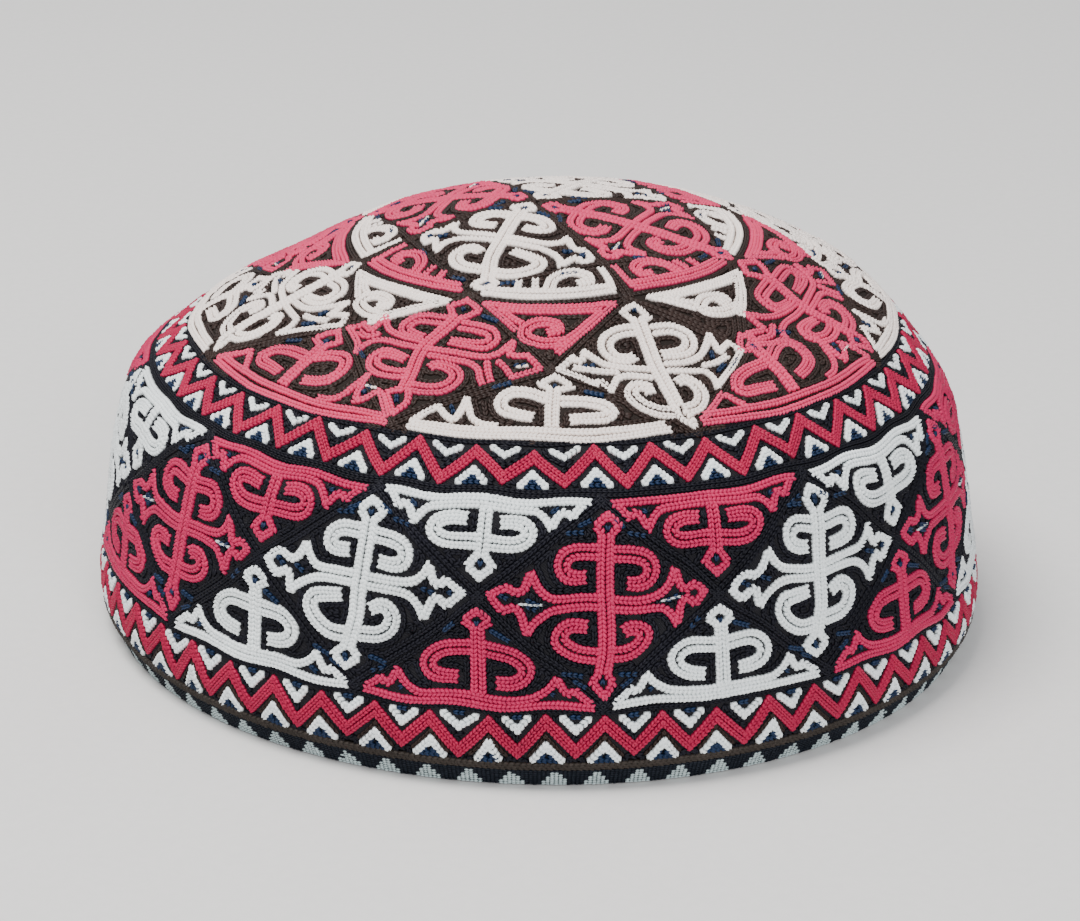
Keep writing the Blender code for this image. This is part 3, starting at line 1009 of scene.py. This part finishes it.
class Number:
    """A number in a material. Arithmetic on it adds the Math nodes."""

    def __init__(self, tree, socket):
        self.tree = tree
        self.socket = socket

    def math(self, operation, other, swap=False):
        pair = (other, self) if swap else (self, other)
        return self.tree.number("ShaderNodeMath", {"operation": operation}, dict(enumerate(pair)))

    def __add__(self, other):
        return self.math("ADD", other)

    def __radd__(self, other):
        return self.math("ADD", other, True)

    def __sub__(self, other):
        return self.math("SUBTRACT", other)

    def __rsub__(self, other):
        return self.math("SUBTRACT", other, True)

    def __mul__(self, other):
        return self.math("MULTIPLY", other)

    def __rmul__(self, other):
        return self.math("MULTIPLY", other, True)

    def held(self):
        return self.tree.number("ShaderNodeClamp", None, {0: self, 1: 0.0, 2: 1.0})


def material(name):
    """A new material and its empty tree."""
    made = bpy.data.materials.new(name)
    made.use_nodes = True
    return made, Tree(made.node_tree)


def close_material(tree, colour, roughness, specular, normal=None):
    """Ends a tree in one cloth shader."""
    inputs = {"Base Color": colour, "Roughness": roughness, "Specular IOR Level": specular}
    if normal:
        inputs["Normal"] = normal
    shader = tree.node("ShaderNodeBsdfPrincipled", None, inputs)
    tree.node("ShaderNodeOutputMaterial", None, {"Surface": shader.outputs[0]})


def thread_material(name, shadow, body, light, rough, specular):
    """Twisted silk: painted shade between stitches, painted highlight on their backs, uneven dye."""
    made, tree = material(name)
    # painted light of the stitches, read from their marks: painted shade between them, a painted
    # highlight on their backs
    ridge = tree.number("ShaderNodeAttribute", {"attribute_name": "ridge"}, None, 2)
    tone = tree.number("ShaderNodeAttribute", {"attribute_name": "tone"}, None, 2)
    place = tree.node("ShaderNodeTexCoord").outputs["Object"]
    dye = tree.number("ShaderNodeTexNoise", None, {"Vector": place, "Scale": 60.0, "Detail": 3.0})
    fuzz = tree.number("ShaderNodeTexNoise", None,
                       {"Vector": place, "Scale": 2600.0, "Detail": 2.0})
    factor = (ridge * 0.52 + tone * 0.34 + (dye - 0.5) * 0.5 + (fuzz - 0.5) * 0.25 + 0.02).held()
    # shadow is the painted shade between the stitches, light is the painted highlight on their backs
    stops = ((0.0, shadow), (0.42, body), (0.95, light))
    ramp = tree.node("ShaderNodeValToRGB", {"stops": stops}, {0: factor})
    bump = tree.node("ShaderNodeBump", None,
                     {"Height": fuzz, "Strength": 0.35, "Distance": 0.0002})
    rough = rough + (fuzz - 0.5) * 0.2
    close_material(tree, ramp.outputs[0], rough, specular, bump.outputs[0])
    return made


def silk(name, colour, shadow, light, specular=0.25, rough=0.5, lift=0.0):
    """A thread of one dye, with painted shade between its stitches and painted highlight on their
    backs.
    """
    # shadow darkens the colour into painted shade, light and lift lighten it into a painted highlight
    return thread_material(name, tinted(colour, shadow), tuple(colour),
                           tinted(colour, light, lift), rough, specular)


def cloth_material(name, dark, light, scale):
    """Plain woven cotton."""
    made, tree = material(name)
    place = tree.node("ShaderNodeTexCoord").outputs["Object"]
    warp = tree.number("ShaderNodeTexWave", {"bands_direction": "DIAGONAL"},
                       {"Vector": place, "Scale": scale, "Distortion": 3.0, "Detail": 2.0}, 1)
    blotch = tree.number("ShaderNodeTexNoise", None, {"Vector": place, "Scale": 45.0})
    grain = tree.number("ShaderNodeTexNoise", None, {"Vector": place, "Scale": 1800.0})
    factor = (warp * 0.3 + blotch * 0.5 + grain * 0.3).held()
    ramp = tree.node("ShaderNodeValToRGB", {"stops": ((0.2, dark), (0.9, light))}, {0: factor})
    bump = tree.node("ShaderNodeBump", None,
                     {"Height": warp * 0.6 + grain * 0.5, "Strength": 0.4, "Distance": 0.0003})
    close_material(tree, ramp.outputs[0], 0.86 + (grain - 0.5) * 0.1, 0.1, bump.outputs[0])
    return made


def new_mesh(name, points, faces, edges=()):
    """A mesh object in the scene's collection."""
    mesh = bpy.data.meshes.new(name)
    mesh.from_pydata(np.asarray(points).tolist(), edges, faces)
    made = bpy.data.objects.new(name, mesh)
    bpy.context.scene.collection.objects.link(made)
    return made


# The faces of one strand or knot: four points around its foot and two along its ridge
GRAIN_FACES = ((0, 1, 4), (1, 5, 4), (1, 2, 5), (2, 3, 5), (3, 4, 5), (3, 0, 4), (0, 3, 1), (3, 2, 1))


def leaf(flip):
    """One slanted strand of a chain stitch: a closed eight-sided grain, left or mirrored.
    Each point has its place along, beside and above the row, and how light its thread is painted:
    painted shade at the foot, darkest in the middle slit, and a painted highlight on the top."""
    # the last number of each point is its painted light: painted shade low down, a painted highlight
    # on top
    points = [(-1.10, 0.02, 0.0, 0.35), (0.08, -0.22, 0.0, 0.05), (0.86, 0.45, 0.0, 0.55),
              (-0.05, 0.58, 0.0, 0.58), (-0.48, 0.15, 0.90, 0.85), (0.38, 0.32, 1.0, 1.0)]
    if not flip:
        return points, GRAIN_FACES
    points = [(x, -y, z, light) for x, y, z, light in points]
    return points, [loop[::-1] for loop in GRAIN_FACES]


def knot():
    """One woven knot: a closed eight-sided grain along its row, with painted shade at its foot and a
    painted highlight on its top, as on a strand.
    """
    points = [(-0.62, 0.0, 0.0, 0.1), (0.0, -0.5, 0.0, 0.2), (0.62, 0.0, 0.0, 0.1),
              (0.0, 0.5, 0.0, 0.2), (-0.3, 0.0, 1.0, 1.0), (0.3, 0.0, 1.0, 1.0)]
    return points, GRAIN_FACES


def stitch_shape(name, *grains):
    """The mesh of one stitch, each point marked with its painted shade or painted highlight."""
    points = []
    faces = []
    for corners, loops in grains:
        faces += [tuple(k + len(points) for k in loop) for loop in loops]
        points += corners
    made = new_mesh(name, [p[:3] for p in points], faces)
    # painted shade and highlight: low at a strand's foot and slit, high on its top
    marks = made.data.attributes.new("ridge", "FLOAT", "POINT")
    marks.data.foreach_set("value", [p[3] for p in points])
    made.data.polygons.foreach_set("use_smooth", [True] * len(faces))
    return made


def stitch_tree():
    """Sets stitches along rows: length, height, unevenness, seed and thread are its inputs."""
    group = bpy.data.node_groups.new("Stitches along rows", "GeometryNodeTree")
    group.interface.new_socket("Rows", in_out="INPUT", socket_type="NodeSocketGeometry")
    for name, kind in (("Stitch", "Object"), ("Length", "Float"), ("Height", "Float"),
                       ("Unevenness", "Float"), ("Seed", "Int"), ("Thread", "Material")):
        group.interface.new_socket(name, in_out="INPUT", socket_type="NodeSocket" + kind)
    group.interface.new_socket("Stitches", in_out="OUTPUT", socket_type="NodeSocketGeometry")
    tree = Tree(group)
    given = tree.node("NodeGroupInput").outputs
    curves = tree.node("GeometryNodeMeshToCurve", None, {"Mesh": given["Rows"]})
    points = tree.node("GeometryNodeCurveToPoints", {"mode": "LENGTH"},
                       {"Curve": curves.outputs[0], "Length": given["Length"]})
    named = {}
    for name, kind in (("up", "FLOAT_VECTOR"), ("breadth", "FLOAT"), ("shade", "FLOAT")):
        node = tree.node("GeometryNodeInputNamedAttribute", {"data_type": kind}, {"Name": name})
        named[name] = used(node.outputs)

    def chance(low, high, shift):
        seed = tree.number("ShaderNodeMath", None, {0: given["Seed"], 1: float(shift)})
        node = tree.node("FunctionNodeRandomValue", {"data_type": "FLOAT"},
                         {2: low, 3: high, 8: seed})
        return Number(tree, node.outputs[1])

    spread = Number(tree, given["Unevenness"])
    turn = tree.node("FunctionNodeAxesToRotation",
                     {"primary_axis": "Z", "secondary_axis": "X"},
                     {"Primary Axis": named["up"], "Secondary Axis": points.outputs["Tangent"]})
    tip = tree.node("ShaderNodeCombineXYZ", None,
                    {0: chance(-0.6, 0.6, 1) * spread, 1: chance(-0.6, 0.6, 2) * spread,
                     2: chance(-0.5, 0.5, 3) * spread})
    tilt = tree.node("FunctionNodeEulerToRotation", None, {0: tip.outputs[0]})
    whole = tree.node("FunctionNodeRotateRotation", {"rotation_space": "LOCAL"},
                      {0: turn.outputs[0], 1: tilt.outputs[0]})
    size = tree.node("ShaderNodeCombineXYZ", None, {
        0: Number(tree, given["Length"]) * (1.0 + chance(-0.4, 0.4, 4) * spread),
        1: Number(tree, named["breadth"]) * (1.0 + chance(-0.5, 0.5, 5) * spread),
        2: Number(tree, given["Height"]) * (1.0 + chance(-1.0, 1.0, 6) * spread)})
    shape = tree.node("GeometryNodeObjectInfo", None, {"Object": given["Stitch"]})
    set_down = tree.node("GeometryNodeInstanceOnPoints", None, {
        "Points": points.outputs["Points"], "Instance": shape.outputs["Geometry"],
        "Rotation": whole.outputs[0], "Scale": size.outputs[0]})
    toned = tree.node("GeometryNodeStoreNamedAttribute",
                      {"data_type": "FLOAT", "domain": "INSTANCE"},
                      {"Geometry": set_down.outputs[0], "Name": "tone"})
    tone = Number(tree, named["shade"]) + chance(-0.22, 0.22, 7)
    value = [socket for socket in toned.inputs if socket.enabled][-1]
    group.links.new(tone.socket, value)
    plain = tree.node("GeometryNodeRealizeInstances", None, {0: toned.outputs[0]})
    done = tree.node("GeometryNodeSetMaterial", None,
                     {"Geometry": plain.outputs[0], "Material": given["Thread"]})
    tree.node("NodeGroupOutput", None, {0: done.outputs[0]})
    return group


def row_mesh(name, rows, to_cap, depth, rng):
    """All rows as one mesh of edges on the cap, each point with its outward direction."""
    points = []
    ups = []
    breadths = []
    shades = []
    edges = []
    count = 0
    for _, line, wide in rows:
        angle, s = to_cap(even(line, 0.45))
        points.append(face(angle, s, depth))
        ups.append(outward(angle, s))
        breadths.append(np.full(len(angle), wide * 0.001))
        shades.append(np.full(len(angle), 0.5 + rng.normal(0, 0.13)))
        edges += [(count + k, count + k + 1) for k in range(len(angle) - 1)]
        count += len(angle)
    made = new_mesh(name, np.vstack(points), [], edges)
    attributes = made.data.attributes
    attributes.new("up", "FLOAT_VECTOR", "POINT").data.foreach_set("vector", np.vstack(ups).ravel())
    for key, value in (("breadth", breadths), ("shade", shades)):
        attributes.new(key, "FLOAT", "POINT").data.foreach_set("value", np.concatenate(value))
    return made


def stitched(name, rows, to_cap, shape, thread, length, height, depth, seed, uneven=0.12):
    """Works rows into stitches and returns them as one plain mesh."""
    made = row_mesh(name, rows, to_cap, depth, np.random.default_rng(seed))
    group = bpy.data.node_groups.get("Stitches along rows") or stitch_tree()
    modifier = made.modifiers.new("Stitches", "NODES")
    modifier.node_group = group
    sockets = {item.name: item.identifier for item in group.interface.items_tree}
    for key, value in (("Stitch", shape), ("Length", length * 0.001), ("Height", height * 0.001),
                       ("Unevenness", uneven), ("Seed", seed), ("Thread", thread)):
        modifier[sockets[key]] = value
    seen = made.evaluated_get(bpy.context.evaluated_depsgraph_get())
    mesh = bpy.data.meshes.new_from_object(seen)
    made.modifiers.clear()
    old = made.data
    made.data = mesh
    mesh.name = name
    bpy.data.meshes.remove(old)
    for extra in ("up", "breadth", "shade"):
        if extra in mesh.attributes:
            mesh.attributes.remove(mesh.attributes[extra])
    if len(mesh.polygons) == 0:
        raise RuntimeError(name + " has no stitches")
    return made


def ring_faces(rings, around):
    """The faces between rings of points that follow each other, and back to the first one."""
    faces = []
    for k in range(rings):
        low = k * around
        high = (k + 1) % rings * around
        for i in range(around):
            j = (i + 1) % around
            faces.append((low + i, low + j, high + j, high + i))
    return faces


def shell(name, points, faces, cloth):
    """A smooth closed piece of one cloth."""
    made = new_mesh(name, points, faces)
    made.data.polygons.foreach_set("use_smooth", [True] * len(faces))
    made.data.materials.append(cloth)
    return made


def around_cap(section, around):
    """The points of a section's rings, each given by a function of the angles."""
    angles = np.linspace(0, 2 * math.pi, around, endpoint=False)
    return np.vstack([place(angles) for place in section])


def closed_ring(name, section, around, cloth):
    """A closed band around the cap."""
    return shell(name, around_cap(section, around), ring_faces(len(section), around), cloth)


def closed_dome(name, levels, around, cloth):
    """A closed dome: rings up its outer face, down its inner one, and a cap on each at the top."""
    section = [at(s, SHELL_DEPTH) for s in levels] + [at(s, CLOTH) for s in levels[::-1]]
    tops = [face(np.array([0.0]), np.array([TOP]), depth) for depth in (SHELL_DEPTH, CLOTH)]
    faces = ring_faces(len(section), around)
    inner = len(levels) * around
    outer = inner - around
    # the faces through the wall give way to the caps
    del faces[outer:inner]
    middle = 2 * inner
    for i in range(around):
        j = (i + 1) % around
        faces.append((outer + i, outer + j, middle))
        faces.append((middle + 1, inner + j, inner + i))
    return shell(name, np.vstack([around_cap(section, around)] + tops), faces, cloth)


def at(s, depth):
    """A section point at a distance up the cloth and a depth under the outer face."""
    return lambda angles: face(angles, np.full(len(angles), float(s)), depth)


def at_height(s, depth, height):
    """The same near the hem, with its height set in millimetres."""
    def place(angles):
        points = face(angles, np.full(len(angles), float(s)), depth)
        points[:, 2] = height * 0.001
        return points
    return place


def finished(piece, slot, *nodes):
    """Hangs a finished piece from the root empty and hides the imported parts that it stands in for.
    """
    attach(piece, "root")
    if nodes:
        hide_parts(*nodes)


class CapSizes(bpy.types.PropertyGroup):
    stitch: bpy.props.FloatProperty(
        name="Stitch length", description="Length of one chain stitch", default=0.00086,
        unit="LENGTH", precision=5)
    ground_stitch: bpy.props.FloatProperty(
        name="Ground stitch length", description="Length of one stitch of the black ground",
        default=0.00105, unit="LENGTH", precision=5)
    ground_row: bpy.props.FloatProperty(
        name="Ground row width", description="Width of one row of the black ground",
        default=0.00122, unit="LENGTH", precision=5)
    pile: bpy.props.FloatProperty(
        name="Stitch height", description="How far the pattern's stitches stand out",
        default=0.00078, unit="LENGTH", precision=5)
    ground_pile: bpy.props.FloatProperty(
        name="Ground stitch height", description="How far the ground's stitches stand out",
        default=0.00050, unit="LENGTH", precision=5)
    trim_triangles: bpy.props.IntProperty(
        name="Trim triangles", description="Stepped triangles around the woven trim", default=70)
    seed: bpy.props.IntProperty(
        name="Seed", description="Seed of the hand's unevenness", default=11)


class CapColours(bpy.types.PropertyGroup):
    red: bpy.props.FloatVectorProperty(
        name="Red silk", description="Pattern thread of the band", subtype="COLOR", size=3,
        default=(0.44, 0.016, 0.078))
    deep_red: bpy.props.FloatVectorProperty(
        name="Deep red silk", description="Thread of the zigzag borders", subtype="COLOR",
        size=3, default=(0.35, 0.009, 0.050))
    crown_red: bpy.props.FloatVectorProperty(
        name="Faded red silk", description="Pattern thread of the crown", subtype="COLOR",
        size=3, default=(0.58, 0.043, 0.118))
    cream: bpy.props.FloatVectorProperty(
        name="Cream silk", description="Pattern thread of the band", subtype="COLOR", size=3,
        default=(0.78, 0.82, 0.82))
    crown_cream: bpy.props.FloatVectorProperty(
        name="Warm cream silk", description="Pattern thread of the crown", subtype="COLOR",
        size=3, default=(0.92, 0.82, 0.76))
    ground: bpy.props.FloatVectorProperty(
        name="Black silk", description="Ground thread of the band", subtype="COLOR", size=3,
        default=(0.005, 0.005, 0.008))
    crown_ground: bpy.props.FloatVectorProperty(
        name="Brown black silk", description="Ground thread of the crown", subtype="COLOR",
        size=3, default=(0.019, 0.011, 0.009))
    navy: bpy.props.FloatVectorProperty(
        name="Navy silk", description="Thread of the small fillings", subtype="COLOR", size=3,
        default=(0.006, 0.018, 0.050))
    braid: bpy.props.FloatVectorProperty(
        name="Brown braid", description="Braid above the trim", subtype="COLOR", size=3,
        default=(0.024, 0.018, 0.014))
    trim_pale: bpy.props.FloatVectorProperty(
        name="Pale trim thread", description="Stepped triangles of the trim", subtype="COLOR",
        size=3, default=(0.42, 0.50, 0.50))
    floor: bpy.props.FloatVectorProperty(
        name="Floor", description="Pale surface that the cap stands on", subtype="COLOR", size=3,
        default=(0.74, 0.73, 0.71))


def sizes():
    return bpy.context.scene.skullcap_sizes


def tinted(colour, factor, lift=0.0):
    """A colour made darker or lighter."""
    return tuple(min(1.0, c * factor + lift) for c in colour)


def band_section():
    """The section of the band's cloth: up its outer face, behind the trim and braid, and back."""
    foot = TRIM_CLOTH + GAP
    shelf = TRIM_OUTER_WIDTH + BRAID_WIDTH + 2 * GAP
    top = SEAM - GAP / 4
    section = [at_height(foot, foot, foot), at(shelf * 0.5, foot), at(shelf, foot)]
    section += [at(s, SHELL_DEPTH) for s in np.linspace(shelf, top, CLOTH_RINGS)]
    section += [at(s, CLOTH) for s in np.linspace(top, foot, 30)[:-1]]
    return section + [at_height(foot, CLOTH, foot)]


class SKULLCAP_OT_cloth(bpy.types.Operator):
    """Cuts the two quilted cloth shells that carry the stitches"""

    bl_idname = "skullcap.cloth"
    bl_label = "Cloth shells"

    def execute(self, context):
        dark = cloth_material("Black quilted cotton", (0.006, 0.006, 0.008),
                              (0.022, 0.021, 0.024), 900.0)
        brown = cloth_material("Brown black quilted cotton", (0.010, 0.007, 0.006),
                               (0.030, 0.023, 0.020), 900.0)
        band = closed_ring("band_cloth", band_section(), CLOTH_AROUND, dark)
        finished(band, "band_cloth", "side_band")
        levels = np.linspace(SEAM + GAP / 4, TOP - 2.0, CLOTH_RINGS)
        crown = closed_dome("crown_cloth", levels, CLOTH_AROUND, brown)
        finished(crown, "crown_cloth", "crown")
        return {"FINISHED"}


def worked_charts(size):
    """The charts of the band and the crown, with their ground."""
    row = size.ground_row * 1000
    band = band_chart(size.seed)
    low, high = BAND_GROUND
    work_ground(band, (-GIRTH / 2, low), (GIRTH / 2, high), lambda x, y: True, row)
    crown = crown_chart(size.seed + 1)
    work_ground(crown, (-CROWN_CHART, -CROWN_CHART), (CROWN_CHART, CROWN_CHART),
                lambda x, y: x * x + y * y < CROWN_GROUND**2, row)
    return band, crown


class SKULLCAP_OT_embroidery(bpy.types.Operator):
    """Works the band and the crown in chain stitch, one piece for each thread"""

    bl_idname = "skullcap.embroidery"
    bl_label = "Embroidery"

    def execute(self, context):
        size = sizes()
        colours = context.scene.skullcap_colours
        band, crown = worked_charts(size)
        chain = stitch_shape("stitch", leaf(False), leaf(True))
        # the two factors after each colour set how dark its painted shade between the stitches and
        # how light its painted highlight on their backs
        brown = silk("Brown black silk", colours.crown_ground, 0.3, 2.2, 0.18)
        navy = silk("Navy silk", colours.navy, 0.35, 1.6)
        pink = silk("Faded crimson silk", colours.crown_red, 0.35, 1.35)
        warm = silk("Warm cream silk", colours.crown_cream, 0.45, 1.1)
        jobs = (
            ("band_crosses_red", band, "red", silk("Crimson silk", colours.red, 0.30, 1.35)),
            ("band_crosses_cream", band, "cream", silk("Cream silk", colours.cream, 0.42, 1.2)),
            ("band_zigzags", band, "zigzag", silk("Deep crimson silk", colours.deep_red, 0.30, 1.35)),
            ("band_fillings_navy", band, "navy", navy),
            ("band_outlines_brown", band, "outline", brown),
            ("band_ground", band, "ground", silk("Black silk", colours.ground, 0.3, 2.4, 0.13)),
            ("crown_crosses_red", crown, "red", pink),
            ("crown_crosses_cream", crown, "cream", warm),
            ("crown_fillings_navy", crown, "navy", navy),
            ("crown_ground", crown, "ground", brown),
        )
        for k, (name, chart, kind, thread) in enumerate(jobs):
            rows = [one for one in chart.rows if one[0] == kind]
            low = kind in LOW_THREADS
            length = size.ground_stitch if low else size.stitch
            height = size.ground_pile if low else size.pile
            piece = stitched(name, rows, chart.to_cap, chain, thread, length * 1000,
                             height * 1000, STITCH_DEPTH, size.seed + k)
            finished(piece, "band_cloth" if chart is band else "crown_cloth")
        bpy.data.objects.remove(chain, do_unlink=True)
        return {"FINISHED"}


def tape_section():
    """The folded trim's section: up its outer face and back, then up its inner fold and back."""
    wall = CLOTH + GAP
    back = wall + TRIM_CLOTH
    section = [at_height(0.0, back, 0.0), at_height(0.0, 1.0, 0.0), at_height(0.3, 0.5, 0.15),
               at_height(0.7, 0.3, 0.7)]
    section += [at(s, 0.25) for s in np.linspace(1.2, TRIM_OUTER_WIDTH - 0.3, 6)]
    section += [at(TRIM_OUTER_WIDTH, 0.5), at(TRIM_OUTER_WIDTH, TRIM_CLOTH),
                at(TRIM_OUTER_WIDTH * 0.5, TRIM_CLOTH),
                at_height(TRIM_CLOTH, TRIM_CLOTH, TRIM_CLOTH),
                at_height(TRIM_CLOTH, wall, TRIM_CLOTH)]
    section += [at(TRIM_INNER_WIDTH * 0.5, wall), at(TRIM_INNER_WIDTH - 0.2, wall),
                at(TRIM_INNER_WIDTH, wall + TRIM_CLOTH * 0.5), at(TRIM_INNER_WIDTH - 0.2, back),
                at(TRIM_INNER_WIDTH * 0.5, back)]
    return section


def trim_rows(size):
    """The rows of knots on the trim: pale ones make the stepped triangles, dark ones the rest."""
    columns = size.trim_triangles * TRIANGLE_KNOTS
    wide = GIRTH / columns
    rise = (TRIM_OUTER_WIDTH - 0.15) / len(TRIANGLE_STEPS)
    rng = np.random.default_rng(size.seed + 31)
    pale = []
    dark = []
    for k, reach in enumerate(TRIANGLE_STEPS):
        for column in range(columns):
            across = (column % TRIANGLE_KNOTS - (TRIANGLE_KNOTS - 1) / 2) * wide
            middle = np.array((-GIRTH / 2 + column * wide, LOWEST_KNOT + k * rise))
            ends = np.array((middle - KNOT_HALF, middle + KNOT_HALF))
            inside = abs(across) <= reach + rng.normal(0, 0.2)
            (pale if inside else dark).append(("trim", ends, rise * 1.05))
    return pale, dark


class SKULLCAP_OT_hem(bpy.types.Operator):
    """Lays the brown braid and folds the woven trim over the hem"""

    bl_idname = "skullcap.hem"
    bl_label = "Braid and trim"

    def execute(self, context):
        size = sizes()
        colours = context.scene.skullcap_colours
        chain = stitch_shape("chain", leaf(False), leaf(True))
        # the braid's stitches get painted shade between them and a painted highlight on their backs,
        # as the silk does
        wool = silk("Brown wool braid", colours.braid, 0.3, 2.0, rough=0.6, lift=0.01)
        level = TRIM_OUTER_WIDTH + GAP + BRAID_WIDTH / 2
        rows = [("braid", level_line(level + lift, BRAID_POINTS), BRAID_ROW)
                for lift in (-BRAID_GAP, BRAID_GAP)]
        braid = stitched("hem_chain_braid", rows, band_to_cap, chain, wool, length=1.15,
                         height=0.85, depth=0.55, seed=size.seed + 20)
        finished(braid, "braid", "hem_braid")
        bpy.data.objects.remove(chain, do_unlink=True)
        tape = cloth_material("Woven trim ground", (0.004, 0.006, 0.010),
                              (0.012, 0.016, 0.022), 1400.0)
        trim = closed_ring("trim_tape", tape_section(), TAPE_AROUND, tape)
        finished(trim, "trim", "hem_trim")
        woven = stitch_shape("knot", knot())
        pale, dark = trim_rows(size)
        # the knots get painted shade at their feet and a painted highlight on their tops; the blue
        # black thread lists its painted shade, plain and painted highlight colours
        light = silk("Pale trim thread", colours.trim_pale, 0.35, 1.35, rough=0.65, lift=0.02)
        black = thread_material("Blue black trim thread", (0.004, 0.005, 0.008),
                                (0.006, 0.008, 0.013), (0.016, 0.021, 0.030), 0.6, 0.15)
        for name, rows, thread in (("trim_knots_pale", pale, light),
                                   ("trim_knots_dark", dark, black)):
            piece = stitched(name, rows, band_to_cap, woven, thread, length=0.95, height=0.36,
                             depth=0.3, seed=size.seed + 30, uneven=0.2)
            finished(piece, "trim")
        bpy.data.objects.remove(woven, do_unlink=True)
        return {"FINISHED"}


def paper_material(colour):
    """A pale surface, a little uneven in its tone."""
    made, tree = material("Pale paper")
    place = tree.node("ShaderNodeTexCoord").outputs["Object"]
    grain = tree.number("ShaderNodeTexNoise", None, {"Vector": place, "Scale": 400.0})
    stops = ((0.3, tinted(colour, 0.985)), (0.7, tinted(colour, 1.015)))
    tone = tree.node("ShaderNodeValToRGB", {"stops": stops}, {0: grain})
    close_material(tree, tone.outputs[0], 0.9, 0.2)
    return made


def pale_room():
    """The soft light from all around."""
    world = bpy.data.worlds.new("Pale room")
    world.use_nodes = True
    room = Tree(world.node_tree)
    light = room.node("ShaderNodeBackground", None,
                      {"Color": (0.93, 0.95, 1.0, 1.0), "Strength": 0.7})
    room.node("ShaderNodeOutputWorld", None, {"Surface": light.outputs[0]})
    return world


def soft_lamp(name, spot, width, power, colour):
    """A round lamp that is turned to the cap."""
    lamp = bpy.data.lights.new(name, "AREA")
    lamp.shape = "DISK"
    lamp.size = width
    lamp.energy = power
    lamp.color = colour
    holder = bpy.data.objects.new(name, lamp)
    holder.location = spot
    ray = Vector((0, 0, 0.04)) - Vector(spot)
    holder.rotation_euler = ray.to_track_quat("-Z", "Y").to_euler()
    return holder


def photograph_view():
    """The camera of the photograph, with its slight roll."""
    rise = math.radians(VIEW_HEIGHT)
    roll = math.radians(VIEW_ROLL)
    ahead = Vector((0, math.cos(rise), -math.sin(rise)))
    right = Vector((1, 0, 0))
    up = right.cross(ahead)
    side = right * math.cos(roll) + up * math.sin(roll)
    top = up * math.cos(roll) - right * math.sin(roll)
    lens = bpy.data.cameras.new("view")
    lens.sensor_width = VIEW_SENSOR
    lens.sensor_fit = "HORIZONTAL"
    lens.lens = VIEW_LENS
    lens.clip_start = 0.01
    view = bpy.data.objects.new("view", lens)
    turn = Matrix((side, top, -ahead)).transposed().to_4x4()
    view.matrix_world = Matrix.Translation(Vector(VIEW_MIDDLE) - ahead * VIEW_DISTANCE) @ turn
    return view


class SKULLCAP_OT_stage(bpy.types.Operator):
    """Sets the pale floor, the soft lights and the camera"""

    bl_idname = "skullcap.stage"
    bl_label = "Floor, lights and camera"

    def execute(self, context):
        scene = context.scene
        floor = new_mesh("floor", [(-4, -4, 0), (4, -4, 0), (4, 4, 0), (-4, 4, 0)], [(0, 1, 2, 3)])
        floor.data.materials.append(paper_material(scene.skullcap_colours.floor))
        scene.world = pale_room()
        for name, settings in LAMPS.items():
            scene.collection.objects.link(soft_lamp(name, *settings))
        scene.camera = photograph_view()
        scene.collection.objects.link(scene.camera)
        return {"FINISHED"}


class SKULLCAP_PT_panel(bpy.types.Panel):
    """Lists the cap's sizes, colours and working steps"""

    bl_idname = "SKULLCAP_PT_panel"
    bl_label = "Skullcap"
    bl_space_type = "VIEW_3D"
    bl_region_type = "UI"
    bl_category = "Skullcap"

    def draw(self, context):
        for group in (context.scene.skullcap_sizes, context.scene.skullcap_colours):
            for key in group.__annotations__:
                self.layout.prop(group, key)
        for name in STEPS:
            self.layout.operator("skullcap." + name)


STEPS = ("cloth", "embroidery", "hem", "stage")
CLASSES = (CapSizes, CapColours, SKULLCAP_OT_cloth, SKULLCAP_OT_embroidery, SKULLCAP_OT_hem,
           SKULLCAP_OT_stage, SKULLCAP_PT_panel)


def register():
    for one in CLASSES:
        bpy.utils.register_class(one)
    bpy.types.Scene.skullcap_sizes = bpy.props.PointerProperty(type=CapSizes)
    bpy.types.Scene.skullcap_colours = bpy.props.PointerProperty(type=CapColours)


def unregister():
    del bpy.types.Scene.skullcap_colours
    del bpy.types.Scene.skullcap_sizes
    for one in reversed(CLASSES):
        bpy.utils.unregister_class(one)


def main():
    register()
    bpy.ops.skullcap.cloth()
    bpy.ops.skullcap.embroidery()
    bpy.ops.skullcap.hem()
    bpy.ops.skullcap.stage()


if __name__ == "__main__":
    main()
